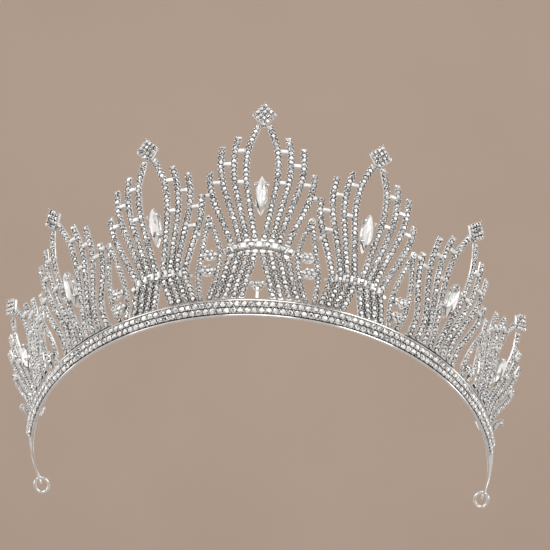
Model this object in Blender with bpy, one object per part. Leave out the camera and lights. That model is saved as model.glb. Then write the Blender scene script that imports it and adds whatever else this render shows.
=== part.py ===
"""Bridal tiara: seven jewelled fans on a two-row stone headband.

The tiara is cast flat and then bent round the head, so every fixed piece is
drawn flat first: X runs along the headband, Y up the upstand and Z outward.
wrap() then bends the flat piece onto the flared surface above the head curve.
The head curve is tight at the front and eases towards straight at the sides.
Two oval rings hang in the eyes at the ends of the headband and swing there.
"""
import math

import bmesh
import bpy
import numpy as np
from mathutils import Matrix, Vector

MM = 0.001

# Head curve: radius at the front and at the sides, and how fast one eases into the other.
FRONT_RADIUS = 66 * MM
SIDE_RADIUS = 110 * MM
EASE_LENGTH = 75 * MM
FLARE = math.radians(21.3)
LIFT = 0.5 * MM  # height of the band's inner lower edge, so that its front lower edge stands at Z = 0

# Headband: heights up the flare, depths outward from its inner face.
BAND_HEIGHT = 4.9 * MM
DECORATED_HALF = 114 * MM
EYE_AT = 141 * MM
EYE_HEIGHT = BAND_HEIGHT / 2
EYE_PAD_RADIUS = 2.0 * MM
EYE_PAD_DEPTH = (-0.1 * MM, 0.6 * MM)
EYE_HOLE_RADIUS = 0.95 * MM
NECK_HALF_HEIGHT = 1.5 * MM
STRIP_THICKNESS = 0.5 * MM
GAP = 0.3 * MM
BAND_STEP = 3.2 * MM
TRIM_BACK = STRIP_THICKNESS + GAP

# Rails and stone rows: low, high, back, front. The bottom rail is drawn long and cut level at Z = 0.
BOTTOM_RAIL = (-0.6 * MM, 0.4 * MM, TRIM_BACK, 1.6 * MM)
LOWER_ROW = (0.7 * MM, 2.1 * MM, TRIM_BACK, 1.7 * MM)
UPPER_ROW = (2.4 * MM, 4.0 * MM, TRIM_BACK, 1.7 * MM)
TOP_RAIL = (4.3 * MM, BAND_HEIGHT, TRIM_BACK, 1.8 * MM)

# Fans: place along the headband, waist height, size and lean, from the centre to the end.
END_FAN_AT = 93.4 * MM
FANS = (
    ("centre", 0.0, 21.5 * MM, 1.0, 0.0),
    ("second", 28.1 * MM, 15.1 * MM, 0.982, 0.0),
    ("third", 58.4 * MM, 7.3 * MM, 1.0, math.radians(4)),
    ("end", END_FAN_AT, 7.5 * MM, 0.93, math.radians(15)),
)

# An end fan stands steeper than the flare: slope at its middle line, and how fast it eases outward.
UPRIGHT_SLOPE = 0.16
UPRIGHT_EASE = 0.0075 / MM
FOOT = BAND_HEIGHT + GAP
LOW_WAIST = 10 * MM
STRAND_HALF_WIDTH = 0.93 * MM
STRAND_DEPTH = (0.4 * MM, 1.5 * MM)
STRAND_TIP = 0.45 * MM
STRAND_STEP = 6.0 * MM

# Half of a fan, in mm from the middle of its waist: (out, up) down the middle of each strand.
STRANDS = (
    ((4.7, -16), (3.2, -10), (1.65, -4.5), (1.05, 0), (2.1, 6), (4.4, 19), (4.85, 25), (4.2, 31.5), (1.75, 38)),
    ((7.0, -16), (5.5, -10), (4.15, -5), (3.35, -1), (4.7, 6), (8.25, 21), (8.5, 29.5), (7.5, 35)),
    ((9.5, -16), (7.85, -10), (6.6, -5), (5.7, -1), (7.3, 6.6), (11.2, 18.2), (12.55, 25), (12.4, 32)),
    ((12.0, -16), (10.15, -10), (9.1, -5), (8.1, -1), (10.5, 6), (13.2, 12), (15.4, 18.5), (16, 24.2)),
)
END_STRAND = ((12.9, -2), (14.2, 3), (16.9, 8), (20.5, 12.4))

# A fan whose waist sits on the headband spreads its strands there: share, and the height it starts at.
FOOT_SPREAD = 0.25
SPREAD_FROM = 7 * MM

# Baguettes bridge a strand and its outer neighbour: (strand, height); strand 0 is the innermost.
BAGUETTES = ((0, 30.3), (1, 26.1), (0, 20.2), (2, 20.3))
BAGUETTE_HALF_HEIGHT = 0.65 * MM
BAGUETTE_DEPTH = (0.6 * MM, 1.85 * MM)
BAGUETTE_OVERLAP = 0.5

# More baguettes on one half of a fan: the half that faces the tiara's middle is -1.
EXTRA_BAGUETTES = {"second": ((-1, 2, 14.2),)}

# Stub baguettes reach from the outermost strand towards a neighbour: (half, height, reach).
STUBS = {
    "centre": ((1, 16.5, 2.05), (-1, 16.5, 2.05)),
    "second": ((-1, 11.0, 1.75),),
    "third": ((-1, 12.8, 1.25), (-1, 21.6, 2.0)),
}

COLLAR_HALF_LENGTH = 10.4 * MM
COLLAR_HALF_HEIGHT = 1.4 * MM
COLLAR_TOP = 0.3 * MM
COLLAR_RISE = 2.0 * MM
COLLAR_SPANS = 10
COLLAR_DEPTH = (0.2 * MM, 2.0 * MM)
FOOT_BAR_HEIGHT = 1.3 * MM
FOOT_BAR_OVERHANG = 1.2 * MM
FOOT_BAR_SINK = 0.2 * MM
FOOT_BAR_STATIONS = 9

FINIAL_CENTRE = 41.7
FINIAL = ((0, 4.1), (2.2, 2.2), (3.85, 0.2), (2.1, -1.8), (0.45, -3.4),
          (-0.45, -3.4), (-2.1, -1.8), (-3.85, 0.2), (-2.2, 2.2))
FINIAL_DEPTH = (0.3 * MM, 2.1 * MM)
FINIAL_CROWN = 0.8

NAVETTE_CENTRE = 16.1
NAVETTE_HALF_LENGTH = 6.0 * MM
NAVETTE_HALF_WIDTH = 1.75 * MM
NAVETTE_DEPTH = (1.0 * MM, 3.5 * MM)
NAVETTE_CROWN = 0.6
NAVETTE_POINTS = 6
SETTING_RIM = 0.25 * MM
SETTING_DEPTH = (0.1 * MM, 0.7 * MM)
PRONG_AT = 3.4 * MM
PRONG_REACH = 1.78 * MM
PRONG_RADIUS = 0.25 * MM
PRONG_DEPTH = (0.15 * MM, 3.5 * MM)
PRONG_POINTS = 5
ARM_START = 0.3
ARM_HALF_HEIGHT = 0.2 * MM
ARM_DEPTH = (0.2 * MM, 0.6 * MM)

# Pointed loops between the fans, in mm: name, place of the foot, middle line as (out, height)
# from foot to head, height where it is widest, and the heights of the lens clusters in it.
LOOPS = (
    ("inner", 15.2, ((0.0, 5.2), (-1.3, 13.5), (-2.45, 19.5), (-2.5, 25.5), (-2.15, 30.7)), 16.0, (18.9, 14.1)),
    ("middle", 42.0, ((0.0, 5.2), (0.9, 29.9)), 12.5, (13.6, 8.9)),
    ("outer", 75.9, ((0.0, 5.2), (1.3, 22.5)), 9.5, (8.6,)),
)
LOOP_HALF_WIDTH = 3.0
LOOP_FOOT_ANGLE = math.radians(66)
LOOP_STATIONS = 9
LOOP_WIRE_HALF = 0.78 * MM
LOOP_DEPTH = (0.4 * MM, 1.5 * MM)
LOOP_CAP_RADIUS = 1.1 * MM
LOOP_CAP_DEPTH = (0.3 * MM, 1.7 * MM)
CLUSTER_HALF_HEIGHT = 1.6 * MM
CLUSTER_GAP = 0.45 * MM
CLUSTER_DEPTH = (0.5 * MM, 1.9 * MM)
CLUSTER_CROWN = 0.7
CLUSTER_POINTS = 5

TREFOIL_STONES = ((-1.55, 9.75), (0.0, 8.9), (1.55, 9.75))
TREFOIL_STONE_RADIUS = 0.75 * MM
TREFOIL_DEPTH = (0.5 * MM, 1.8 * MM)
TREFOIL_STEM_DEPTH = (0.7 * MM, 1.6 * MM)
TREFOIL_STEM_HALF = 0.4 * MM
TREFOIL_ARM_HEIGHTS = (8.0, 9.4, 8.8)
TREFOIL_ARM_DEPTH = (0.8 * MM, 1.5 * MM)

PIN_EYE_AT = 100 * MM
PIN_EYE_RADIUS = 1.3 * MM
PIN_EYE_WIRE = 0.38 * MM

RING_HALF_LENGTH = 3.8 * MM
RING_HALF_WIDTH = 2.25 * MM
RING_WIRE = 0.5 * MM
RING_POINTS = 18
RING_DROOP = math.radians(8)

# Colour, metallic, roughness, transmission.
SILVER = ("silver_plating", (0.80, 0.80, 0.79), 1.0, 0.18, 0.0)
STONES = ("stone_setting", (0.86, 0.87, 0.88), 0.6, 0.12, 0.0)
CRYSTAL = ("clear_crystal", (0.95, 0.97, 1.0), 0.0, 0.03, 0.4)


# ---------------------------------------------------------------- head curve

def heading(s):
    """Direction of the head curve at arc length s from the front, turned from +X."""
    extra = (1 / FRONT_RADIUS - 1 / SIDE_RADIUS) * EASE_LENGTH * math.sqrt(math.pi) / 2
    return s / SIDE_RADIUS + extra * math.erf(s / EASE_LENGTH)


def curvature(s):
    ease = math.exp(-((s / EASE_LENGTH) ** 2))
    return 1 / SIDE_RADIUS + (1 / FRONT_RADIUS - 1 / SIDE_RADIUS) * ease


def head_curve_table():
    """Arc lengths from the front to past the eyes, with the X and Y reached there."""
    step = 0.25 * MM
    arc = np.arange(0.0, EYE_AT + 20 * MM, step)
    middle = [heading(s + step / 2) for s in arc[:-1]]
    x = np.concatenate([[0.0], np.cumsum(np.cos(middle)) * step])
    y = np.concatenate([[0.0], np.cumsum(np.sin(middle)) * step])
    return arc, x, y


ARC, ARC_X, ARC_Y = head_curve_table()


def wrap(s, up, out):
    """World place of a point s along the headband, up the flare and out from it."""
    side = math.copysign(1.0, s)
    turn = heading(abs(s))
    reach = up * math.sin(FLARE) + out * math.cos(FLARE)
    x = np.interp(abs(s), ARC, ARC_X) + reach * math.sin(turn)
    y = np.interp(abs(s), ARC, ARC_Y) - reach * math.cos(turn)
    return Vector((side * x, y, up * math.cos(FLARE) - out * math.sin(FLARE) + LIFT))


def wrap_band(mesh):
    """Bend a piece of the headband; what would dip under the table plane is cut level with it."""
    for vertex in mesh.vertices:
        along, up, out = vertex.co
        level = (out * math.sin(FLARE) - LIFT) / math.cos(FLARE)
        vertex.co = wrap(along, max(up, level), out)


def wrap_upstand(mesh, place):
    """Bend a piece of the upstand, its X = 0 standing at arc length place.

    The surface widens as it rises, so places are drawn in to keep the drawn width.
    """
    for vertex in mesh.vertices:
        along, up, out = vertex.co
        s = place + along / (1 + curvature(place) * up * math.sin(FLARE))
        vertex.co = wrap(s, up, out)


def stand_upright(mesh):
    """Draw an end fan in over the head as it rises, its inner half more than its outer half."""
    for vertex in mesh.vertices:
        along, up, out = vertex.co
        rise = up - FOOT
        slope = UPRIGHT_SLOPE - UPRIGHT_EASE * along
        normal = Vector((-UPRIGHT_EASE * rise, slope, 1.0)).normalized()
        vertex.co = Vector((along, up, -rise * slope)) + out * normal


# ---------------------------------------------------------------- tools

def material(finish):
    name, colour, metallic, roughness, transmission = finish
    made = bpy.data.materials.get(name)
    if made is None:
        made = bpy.data.materials.new(name)
        made.use_nodes = True
        shader = made.node_tree.nodes["Principled BSDF"]
        shader.inputs["Base Color"].default_value = (*colour, 1.0)
        shader.inputs["Metallic"].default_value = metallic
        shader.inputs["Roughness"].default_value = roughness
        shader.inputs["Transmission Weight"].default_value = transmission
        made.diffuse_color = (*colour, 1.0)
    return made


def add_object(name, data, collection):
    made = bpy.data.objects.new(name, data)
    collection.objects.link(made)
    return made


def weld_and_orient(mesh):
    work = bmesh.new()
    work.from_mesh(mesh)
    bmesh.ops.remove_doubles(work, verts=work.verts, dist=0.00001)
    bmesh.ops.recalc_face_normals(work, faces=work.faces)
    work.to_mesh(mesh)
    work.free()


def curve_to_mesh(curve_object, name):
    """The evaluated curve as a welded mesh; the curve is removed."""
    bpy.context.view_layer.update()
    evaluated = curve_object.evaluated_get(bpy.context.evaluated_depsgraph_get())
    mesh = bpy.data.meshes.new_from_object(evaluated)
    mesh.name = name
    curve = curve_object.data
    bpy.data.objects.remove(curve_object)
    bpy.data.curves.remove(curve)
    weld_and_orient(mesh)
    return mesh


def flat_solid(name, outlines, depth):
    """A plate cut to closed outlines (the later ones are holes), between two depths."""
    curve = bpy.data.curves.new(name, "CURVE")
    curve.dimensions = "2D"
    curve.fill_mode = "BOTH"
    curve.extrude = (depth[1] - depth[0]) / 2
    for outline in outlines:
        spline = curve.splines.new("POLY")
        spline.points.add(len(outline) - 1)
        for point, (x, y) in zip(spline.points, outline):
            point.co = (x, y, 0.0, 1.0)
        spline.use_cyclic_u = True
    holder = add_object(name, curve, bpy.context.scene.collection)
    mesh = curve_to_mesh(holder, name)
    mesh.transform(Matrix.Translation((0.0, 0.0, (depth[0] + depth[1]) / 2)))
    return mesh


def strip_solid(name, lower, upper, depth):
    """A plate of quads between two lines of points that run side by side."""
    work = bmesh.new()
    grid = bmesh.ops.create_grid(work, x_segments=len(lower) - 1, y_segments=1, size=1.0)["verts"]
    grid.sort(key=lambda vertex: (round(vertex.co.y), vertex.co.x))
    for vertex, (x, y) in zip(grid, lower + upper):
        vertex.co = (x, y, depth[0])
    raised = bmesh.ops.extrude_face_region(work, geom=work.faces[:])["geom"]
    for vertex in (item for item in raised if isinstance(item, bmesh.types.BMVert)):
        vertex.co.z = depth[1]
    bmesh.ops.recalc_face_normals(work, faces=work.faces)
    mesh = bpy.data.meshes.new(name)
    work.to_mesh(mesh)
    work.free()
    return mesh


def taper_front(mesh, factor):
    """Draw the front face in towards its middle, like the crown of a cut stone."""
    front = max(vertex.co.z for vertex in mesh.vertices)
    face = [vertex for vertex in mesh.vertices if vertex.co.z > front - 0.01 * MM]
    middle = sum((vertex.co for vertex in face), Vector()) / len(face)
    for vertex in face:
        vertex.co = middle + (vertex.co - middle) * factor


def union(name, meshes):
    """One solid from overlapping flat solids."""
    scratch = bpy.context.scene.collection
    base = add_object(name, meshes[0], scratch)
    for number, mesh in enumerate(meshes[1:]):
        cutter = add_object(f"{name}_join_{number}", mesh, scratch)
        join = base.modifiers.new("join", "BOOLEAN")
        join.operation = "UNION"
        join.object = cutter
        bpy.context.view_layer.update()
        evaluated = base.evaluated_get(bpy.context.evaluated_depsgraph_get())
        joined = bpy.data.meshes.new_from_object(evaluated)
        base.modifiers.clear()
        base.data = joined
        bpy.data.objects.remove(cutter)
    result = base.data
    bpy.data.objects.remove(base)
    result.name = name
    weld_and_orient(result)
    return result


def add_part(name, mesh, finish, tiara):
    mesh.materials.clear()
    mesh.materials.append(material(finish))
    return add_object(name, mesh, tiara)


def smooth_value(knots, at):
    """Catmull-Rom curve through (value, position) knots, read at one position."""
    values = [knot[0] for knot in knots]
    places = [knot[1] for knot in knots]
    at = min(max(at, places[0]), places[-1])
    index = max(i for i in range(len(places) - 1) if places[i] <= at)
    span = places[index + 1] - places[index]
    t = (at - places[index]) / span

    def slope(i):
        low, high = max(i - 1, 0), min(i + 1, len(values) - 1)
        return (values[high] - values[low]) / (places[high] - places[low])

    start, end = values[index], values[index + 1]
    bend_in, bend_out = slope(index) * span, slope(index + 1) * span
    return ((2 * t ** 3 - 3 * t ** 2 + 1) * start + (t ** 3 - 2 * t ** 2 + t) * bend_in
            + (3 * t ** 2 - 2 * t ** 3) * end + (t ** 3 - t ** 2) * bend_out)


def ribbon(name, centre, half_width, depth, foot, tip=0.0):
    """A flat bar along a centre line, its foot cut level and its far tip blunt or narrowed."""
    left, right = [], []
    count = len(centre)
    for index, point in enumerate(centre):
        before = Vector(centre[max(index - 1, 0)])
        after = Vector(centre[min(index + 1, count - 1)])
        along = (after - before).normalized()
        across = Vector((along.y, -along.x)) * half_width
        for line, edge in ((right, Vector(point) + across), (left, Vector(point) - across)):
            line.append((edge.x, foot if index == 0 else edge.y))
    if tip:
        crown = Vector(centre[-1]) + along * tip
        right.append(tuple(crown + across * 0.5))
        left.append(tuple(crown - across * 0.5))
    return strip_solid(name, right, left, depth)


def circle(x, y, radius, points):
    turns = [2 * math.pi * index / points for index in range(points)]
    return [(x + radius * math.cos(turn), y + radius * math.sin(turn)) for turn in turns]


def lens(half_length, half_width, points_a_side, upright=True):
    """Pointed oval made of two arcs that meet at its tips."""
    radius = (half_length ** 2 + half_width ** 2) / (2 * half_width)
    reach = math.asin(half_length / radius)
    outline = []
    for side in (1, -1):
        for index in range(points_a_side):
            turn = -reach + 2 * reach * index / points_a_side
            along = radius * math.sin(turn)
            across = radius * math.cos(turn) - (radius - half_width)
            outline.append((side * across, side * along))
    return outline if upright else [(-y, x) for x, y in outline]


def moved(outline, x, y):
    return [(px + x, py + y) for px, py in outline]


# ---------------------------------------------------------------- headband

def headband_strip(tiara):
    """Polished strip behind the stones; its plain ends narrow to a round eye."""
    neck_end = EYE_AT - 0.8 * EYE_PAD_RADIUS
    decorated = np.linspace(0.0, DECORATED_HALF, round(DECORATED_HALF / BAND_STEP) + 1)
    plain = np.linspace(DECORATED_HALF, neck_end, round((neck_end - DECORATED_HALF) / BAND_STEP) + 1)
    half_line = [(s, BAND_HEIGHT / 2) for s in decorated]
    for s in plain[1:]:
        share = (s - DECORATED_HALF) / (neck_end - DECORATED_HALF)
        half_line.append((s, BAND_HEIGHT / 2 + (NECK_HALF_HEIGHT - BAND_HEIGHT / 2) * share))
    line = [(-s, half) for s, half in half_line[:0:-1]] + half_line
    lower = [(s, EYE_HEIGHT - half) for s, half in line]
    upper = [(s, EYE_HEIGHT + half) for s, half in line]
    solids = [strip_solid("strip", lower, upper, (0.0, STRIP_THICKNESS))]
    for side in (1, -1):
        rim = circle(side * EYE_AT, EYE_HEIGHT, EYE_PAD_RADIUS, 14)
        hole = circle(side * EYE_AT, EYE_HEIGHT, EYE_HOLE_RADIUS, 10)
        solids.append(flat_solid("eye_pad", [rim, hole], EYE_PAD_DEPTH))
    mesh = union("headband_strip", solids)
    wrap_band(mesh)
    add_part("headband_strip", mesh, SILVER, tiara)


def band_trim(name, section, finish, tiara):
    """A rail or a row of set stones along the decorated part of the headband."""
    low, high, back, front = section
    stations = np.linspace(-DECORATED_HALF, DECORATED_HALF, 2 * round(DECORATED_HALF / BAND_STEP) + 1)
    mesh = strip_solid(name, [(s, low) for s in stations], [(s, high) for s in stations], (back, front))
    wrap_band(mesh)
    add_part(name, mesh, finish, tiara)


def pin_eye(name, side, tiara):
    """Small wire loop on the inner face, for a hair pin."""
    bpy.ops.mesh.primitive_torus_add(major_radius=PIN_EYE_RADIUS, minor_radius=PIN_EYE_WIRE,
                                     major_segments=12, minor_segments=6)
    made = bpy.context.active_object
    made.name = name
    centre = wrap(side * PIN_EYE_AT, BAND_HEIGHT / 2, -(GAP + PIN_EYE_RADIUS + PIN_EYE_WIRE))
    made.data.transform(Matrix.Rotation(math.radians(90) - FLARE, 4, "X"))
    made.data.transform(Matrix.Rotation(side * heading(PIN_EYE_AT), 4, "Z"))
    made.location = centre
    made.data.materials.append(material(SILVER))
    for owner in list(made.users_collection):
        owner.objects.unlink(made)
    tiara.objects.link(made)


# ---------------------------------------------------------------- fans

def fan_point(fan, out, up):
    """Flat place of a point of the fan pattern, in metres from the fan's own middle line."""
    _, _, waist, size, lean = fan
    x = (out * math.cos(lean) + up * math.sin(lean)) * size
    y = waist + (up * math.cos(lean) - out * math.sin(lean)) * size
    return x, y


def strand_line(fan, knots, side, foot, spread):
    """Centre line of a strand from its foot to its tip."""
    knots = [(side * x * MM, y * MM) for x, y in knots]
    low, high = knots[0][1], knots[-1][1]

    def place(height):
        share = min(max((SPREAD_FROM - height) / SPREAD_FROM, 0.0), 1.0)
        return fan_point(fan, smooth_value(knots, height) * (1 + spread * share ** 2), height)

    for _ in range(40):
        middle = (low + high) / 2
        if place(middle)[1] < foot:
            low = middle
        else:
            high = middle
    start, stop = high, knots[-1][1]
    count = max(3, round((stop - start) / STRAND_STEP))
    return [place(start + (stop - start) * index / count) for index in range(count + 1)]


def collar(name, fan):
    """Arched bar of stones across the waist."""
    upper, lower = [], []
    for index in range(COLLAR_SPANS + 1):
        out = COLLAR_HALF_LENGTH * (2 * index / COLLAR_SPANS - 1)
        up = COLLAR_TOP - COLLAR_RISE * (out / COLLAR_HALF_LENGTH) ** 2
        upper.append(fan_point(fan, out, up + COLLAR_HALF_HEIGHT))
        lower.append(fan_point(fan, out, up - COLLAR_HALF_HEIGHT))
    return strip_solid(name, lower, upper, COLLAR_DEPTH)


def foot_bar(name, lines):
    """Bar along the rail that ties the strands of a fan whose waist sits on the headband."""
    first = min(line[0][0] for line in lines) - FOOT_BAR_OVERHANG
    last = max(line[0][0] for line in lines) + FOOT_BAR_OVERHANG
    places = np.linspace(first, last, FOOT_BAR_STATIONS)
    lower = [(x, FOOT) for x in places]
    upper = [(x, FOOT + FOOT_BAR_HEIGHT) for x in places]
    return strip_solid(name, lower, upper, COLLAR_DEPTH)


def baguette_outline(fan, strand, height, side):
    """Oblong stone that bridges two neighbouring strands."""
    inner = [(x * MM, y * MM) for x, y in STRANDS[strand]]
    outer = [(x * MM, y * MM) for x, y in STRANDS[strand + 1]]
    up = height * MM
    near = smooth_value(inner, up) + STRAND_HALF_WIDTH * BAGUETTE_OVERLAP
    far = smooth_value(outer, up) - STRAND_HALF_WIDTH * BAGUETTE_OVERLAP
    return oblong(fan, near, far, up, side)


def stub_outline(fan, height, reach, side):
    """Oblong stone that reaches from the outermost strand towards a neighbour."""
    near = smooth_value([(x * MM, y * MM) for x, y in STRANDS[-1]], height * MM)
    return oblong(fan, near, near + reach * MM, height * MM, side)


def oblong(fan, near, far, up, side):
    corners = ((near, up - BAGUETTE_HALF_HEIGHT), (far, up - BAGUETTE_HALF_HEIGHT),
               (far, up + BAGUETTE_HALF_HEIGHT), (near, up + BAGUETTE_HALF_HEIGHT))
    return [fan_point(fan, side * out, rise) for out, rise in corners]


def fan_frame(name, fan, side, tiara):
    """Strands, collar or foot bar, and baguettes of one fan, soldered into one piece."""
    label, place, waist, size, _ = fan
    low_waist = waist < LOW_WAIST
    foot = FOOT + FOOT_BAR_SINK if low_waist else FOOT
    spread = FOOT_SPREAD if low_waist else 0.0
    lines = [strand_line(fan, knots, hand, foot, spread) for knots in STRANDS for hand in (1, -1)]
    if label == "end":
        lines.append(strand_line(fan, END_STRAND, 1, foot, 0.0))
    solids = [foot_bar(name, lines) if low_waist else collar(name, fan)]
    half_width = STRAND_HALF_WIDTH * size
    solids += [ribbon(name, line, half_width, STRAND_DEPTH, foot, STRAND_TIP) for line in lines]
    bridges = [(hand, strand, height) for hand in (1, -1) for strand, height in BAGUETTES]
    bridges += EXTRA_BAGUETTES.get(label, ())
    outlines = [baguette_outline(fan, strand, height, hand) for hand, strand, height in bridges]
    outlines += [stub_outline(fan, height, reach, hand) for hand, height, reach in STUBS.get(label, ())]
    solids += [flat_solid(name, [outline], BAGUETTE_DEPTH) for outline in outlines]
    add_upstand_part(name, union(name, solids), STONES, side, place, tiara)


def add_upstand_part(name, mesh, finish, side, place, tiara):
    """Bend and add a piece drawn for the right half; pieces on the left are its mirror image."""
    if place == END_FAN_AT:
        stand_upright(mesh)
    if side < 0:
        mesh.transform(Matrix.Scale(-1, 4, (1, 0, 0)))
        mesh.flip_normals()
    wrap_upstand(mesh, side * place)
    add_part(name, mesh, finish, tiara)


def finial(name, fan, side, tiara):
    """Pave kite at the tip of the fan's pointed oval."""
    outline = [fan_point(fan, x * MM, (FINIAL_CENTRE + y) * MM) for x, y in FINIAL]
    mesh = flat_solid(name, [outline], FINIAL_DEPTH)
    taper_front(mesh, FINIAL_CROWN)
    add_upstand_part(name, mesh, STONES, side, fan[1], tiara)


def navette_outline(fan, grow):
    shape = lens(NAVETTE_HALF_LENGTH + 2 * grow, NAVETTE_HALF_WIDTH + grow, NAVETTE_POINTS)
    return [fan_point(fan, x, NAVETTE_CENTRE * MM + y) for x, y in shape]


def navette_setting(name, fan, side, tiara):
    """Boat-shaped back plate with four upright prongs."""
    solids = [flat_solid(name, [navette_outline(fan, SETTING_RIM)], SETTING_DEPTH)]
    for hand in (1, -1):
        for rise in (1, -1):
            out, up = hand * PRONG_REACH, NAVETTE_CENTRE * MM + rise * PRONG_AT
            root = out * ARM_START
            arm = ((root, up - ARM_HALF_HEIGHT), (out, up - ARM_HALF_HEIGHT),
                   (out, up + ARM_HALF_HEIGHT), (root, up + ARM_HALF_HEIGHT))
            solids.append(flat_solid(name, [[fan_point(fan, *corner) for corner in arm]], ARM_DEPTH))
            post = [fan_point(fan, *corner) for corner in circle(out, up, PRONG_RADIUS, PRONG_POINTS)]
            solids.append(flat_solid(name, [post], PRONG_DEPTH))
    add_upstand_part(name, union(name, solids), SILVER, side, fan[1], tiara)


def navette_crystal(name, fan, side, tiara):
    """Pointed oval crystal with a cut crown."""
    mesh = flat_solid(name, [navette_outline(fan, 0.0)], NAVETTE_DEPTH)
    taper_front(mesh, NAVETTE_CROWN)
    add_upstand_part(name, mesh, CRYSTAL, side, fan[1], tiara)


def trefoil(tiara):
    """Three stones on a short stem, standing on the rail under the centre fan's waist."""
    x_out, y_out = TREFOIL_STONES[2]
    stem = [(-TREFOIL_STEM_HALF, FOOT), (TREFOIL_STEM_HALF, FOOT),
            (TREFOIL_STEM_HALF, y_out * MM), (-TREFOIL_STEM_HALF, y_out * MM)]
    solids = [flat_solid("trefoil", [stem], TREFOIL_STEM_DEPTH)]
    low, outer_low, high = [height * MM for height in TREFOIL_ARM_HEIGHTS]
    for hand in (1, -1):
        tip = hand * x_out * MM
        arm = [(0.0, low), (tip, outer_low), (tip, y_out * MM), (0.0, high)]
        solids.append(flat_solid("trefoil", [arm], TREFOIL_ARM_DEPTH))
    for x, y in TREFOIL_STONES:
        solids.append(flat_solid("trefoil", [circle(x * MM, y * MM, TREFOIL_STONE_RADIUS, 8)], TREFOIL_DEPTH))
    add_upstand_part("trefoil", union("trefoil", solids), STONES, 1, 0.0, tiara)


# ---------------------------------------------------------------- loops between the fans

def loop_ends(loop):
    """Heights of the loop's foot and head."""
    middle_line = loop[2]
    return middle_line[0][1], middle_line[-1][1]


def loop_half_width(loop, height):
    """Half width between the legs' centre lines: a point at the head, drawn in at the foot."""
    foot, head = loop_ends(loop)
    widest = loop[3]
    if height > widest:
        return LOOP_HALF_WIDTH * math.cos(math.pi / 2 * (height - widest) / (head - widest))
    return LOOP_HALF_WIDTH * math.cos(LOOP_FOOT_ANGLE * (widest - height) / (widest - foot))


def loop_leg(loop, hand):
    """Centre line of one leg, from the loop's foot to its pointed head."""
    heights = np.linspace(*loop_ends(loop), LOOP_STATIONS)
    return [((smooth_value(loop[2], height) + hand * loop_half_width(loop, height)) * MM, height * MM)
            for height in heights]


def pointed_loop(loop, side, tiara):
    """Two stone-set legs that meet in a point over a pair of lens clusters."""
    label, place, middle_line, _, _ = loop
    name = f"{label}_loop_{'right' if side > 0 else 'left'}"
    head_out, head_up = middle_line[-1]
    solids = [flat_solid(name, [circle(head_out * MM, head_up * MM, LOOP_CAP_RADIUS, 8)], LOOP_CAP_DEPTH)]
    for hand in (1, -1):
        solids.append(ribbon(name, loop_leg(loop, hand), LOOP_WIRE_HALF, LOOP_DEPTH, FOOT))
    add_upstand_part(name, union(name, solids), STONES, side, place * MM, tiara)


def lens_clusters(loop, side, tiara):
    """Pointed groups of stones, stacked between the legs of a loop."""
    label, place, middle_line, _, heights = loop
    for number, height in enumerate(heights):
        reach = loop_half_width(loop, height) * MM - LOOP_WIRE_HALF - CLUSTER_GAP
        shape = lens(reach, min(CLUSTER_HALF_HEIGHT, reach), CLUSTER_POINTS, upright=False)
        outline = moved(shape, smooth_value(middle_line, height) * MM, height * MM)
        name = f"{label}_cluster_{'upper' if number == 0 else 'lower'}_{'right' if side > 0 else 'left'}"
        mesh = flat_solid(name, [outline], CLUSTER_DEPTH)
        taper_front(mesh, CLUSTER_CROWN)
        add_upstand_part(name, mesh, STONES, side, place * MM, tiara)


# ---------------------------------------------------------------- rings

def end_ring(name, side, tiara, root):
    """Oval wire ring through the eye; its parent empty stands on the swing axis."""
    eye = wrap(side * EYE_AT, EYE_HEIGHT, STRIP_THICKNESS / 2)
    outward = (wrap(side * EYE_AT, EYE_HEIGHT, 1 * MM) - wrap(side * EYE_AT, EYE_HEIGHT, 0.0)).normalized()
    turn = heading(EYE_AT)
    back = Vector((side * math.cos(turn), math.sin(turn), 0.0))
    axis = outward * side
    lie = Matrix.Rotation(-RING_DROOP, 3, axis) @ back
    pivot = bpy.data.objects.new(f"{name}_axis", None)
    pivot.location = eye
    pivot.parent = root
    tiara.objects.link(pivot)
    curve = bpy.data.curves.new(name, "CURVE")
    curve.dimensions = "3D"
    curve.bevel_depth = RING_WIRE
    curve.bevel_resolution = 2
    spline = curve.splines.new("POLY")
    spline.points.add(RING_POINTS - 1)
    for index, point in enumerate(spline.points):
        angle = 2 * math.pi * index / RING_POINTS
        place = lie * RING_HALF_LENGTH * (1 - math.cos(angle)) + outward * RING_HALF_WIDTH * math.sin(angle)
        point.co = (*place, 1.0)
    spline.use_cyclic_u = True
    mesh = curve_to_mesh(add_object(name, curve, bpy.context.scene.collection), name)
    mesh.materials.clear()
    mesh.materials.append(material(SILVER))
    made = add_object(name, mesh, tiara)
    made.parent = pivot


# ---------------------------------------------------------------- assembly

def clear_scene():
    for old in list(bpy.data.objects):
        bpy.data.objects.remove(old)


def centre_on_origin(root, tiara):
    """Stand the whole tiara with the middle of its box over the origin."""
    bpy.context.view_layer.update()
    depths = [(part.matrix_world @ vertex.co).y for part in tiara.objects if part.type == "MESH"
              for vertex in part.data.vertices]
    root.location.y = -(min(depths) + max(depths)) / 2


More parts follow.
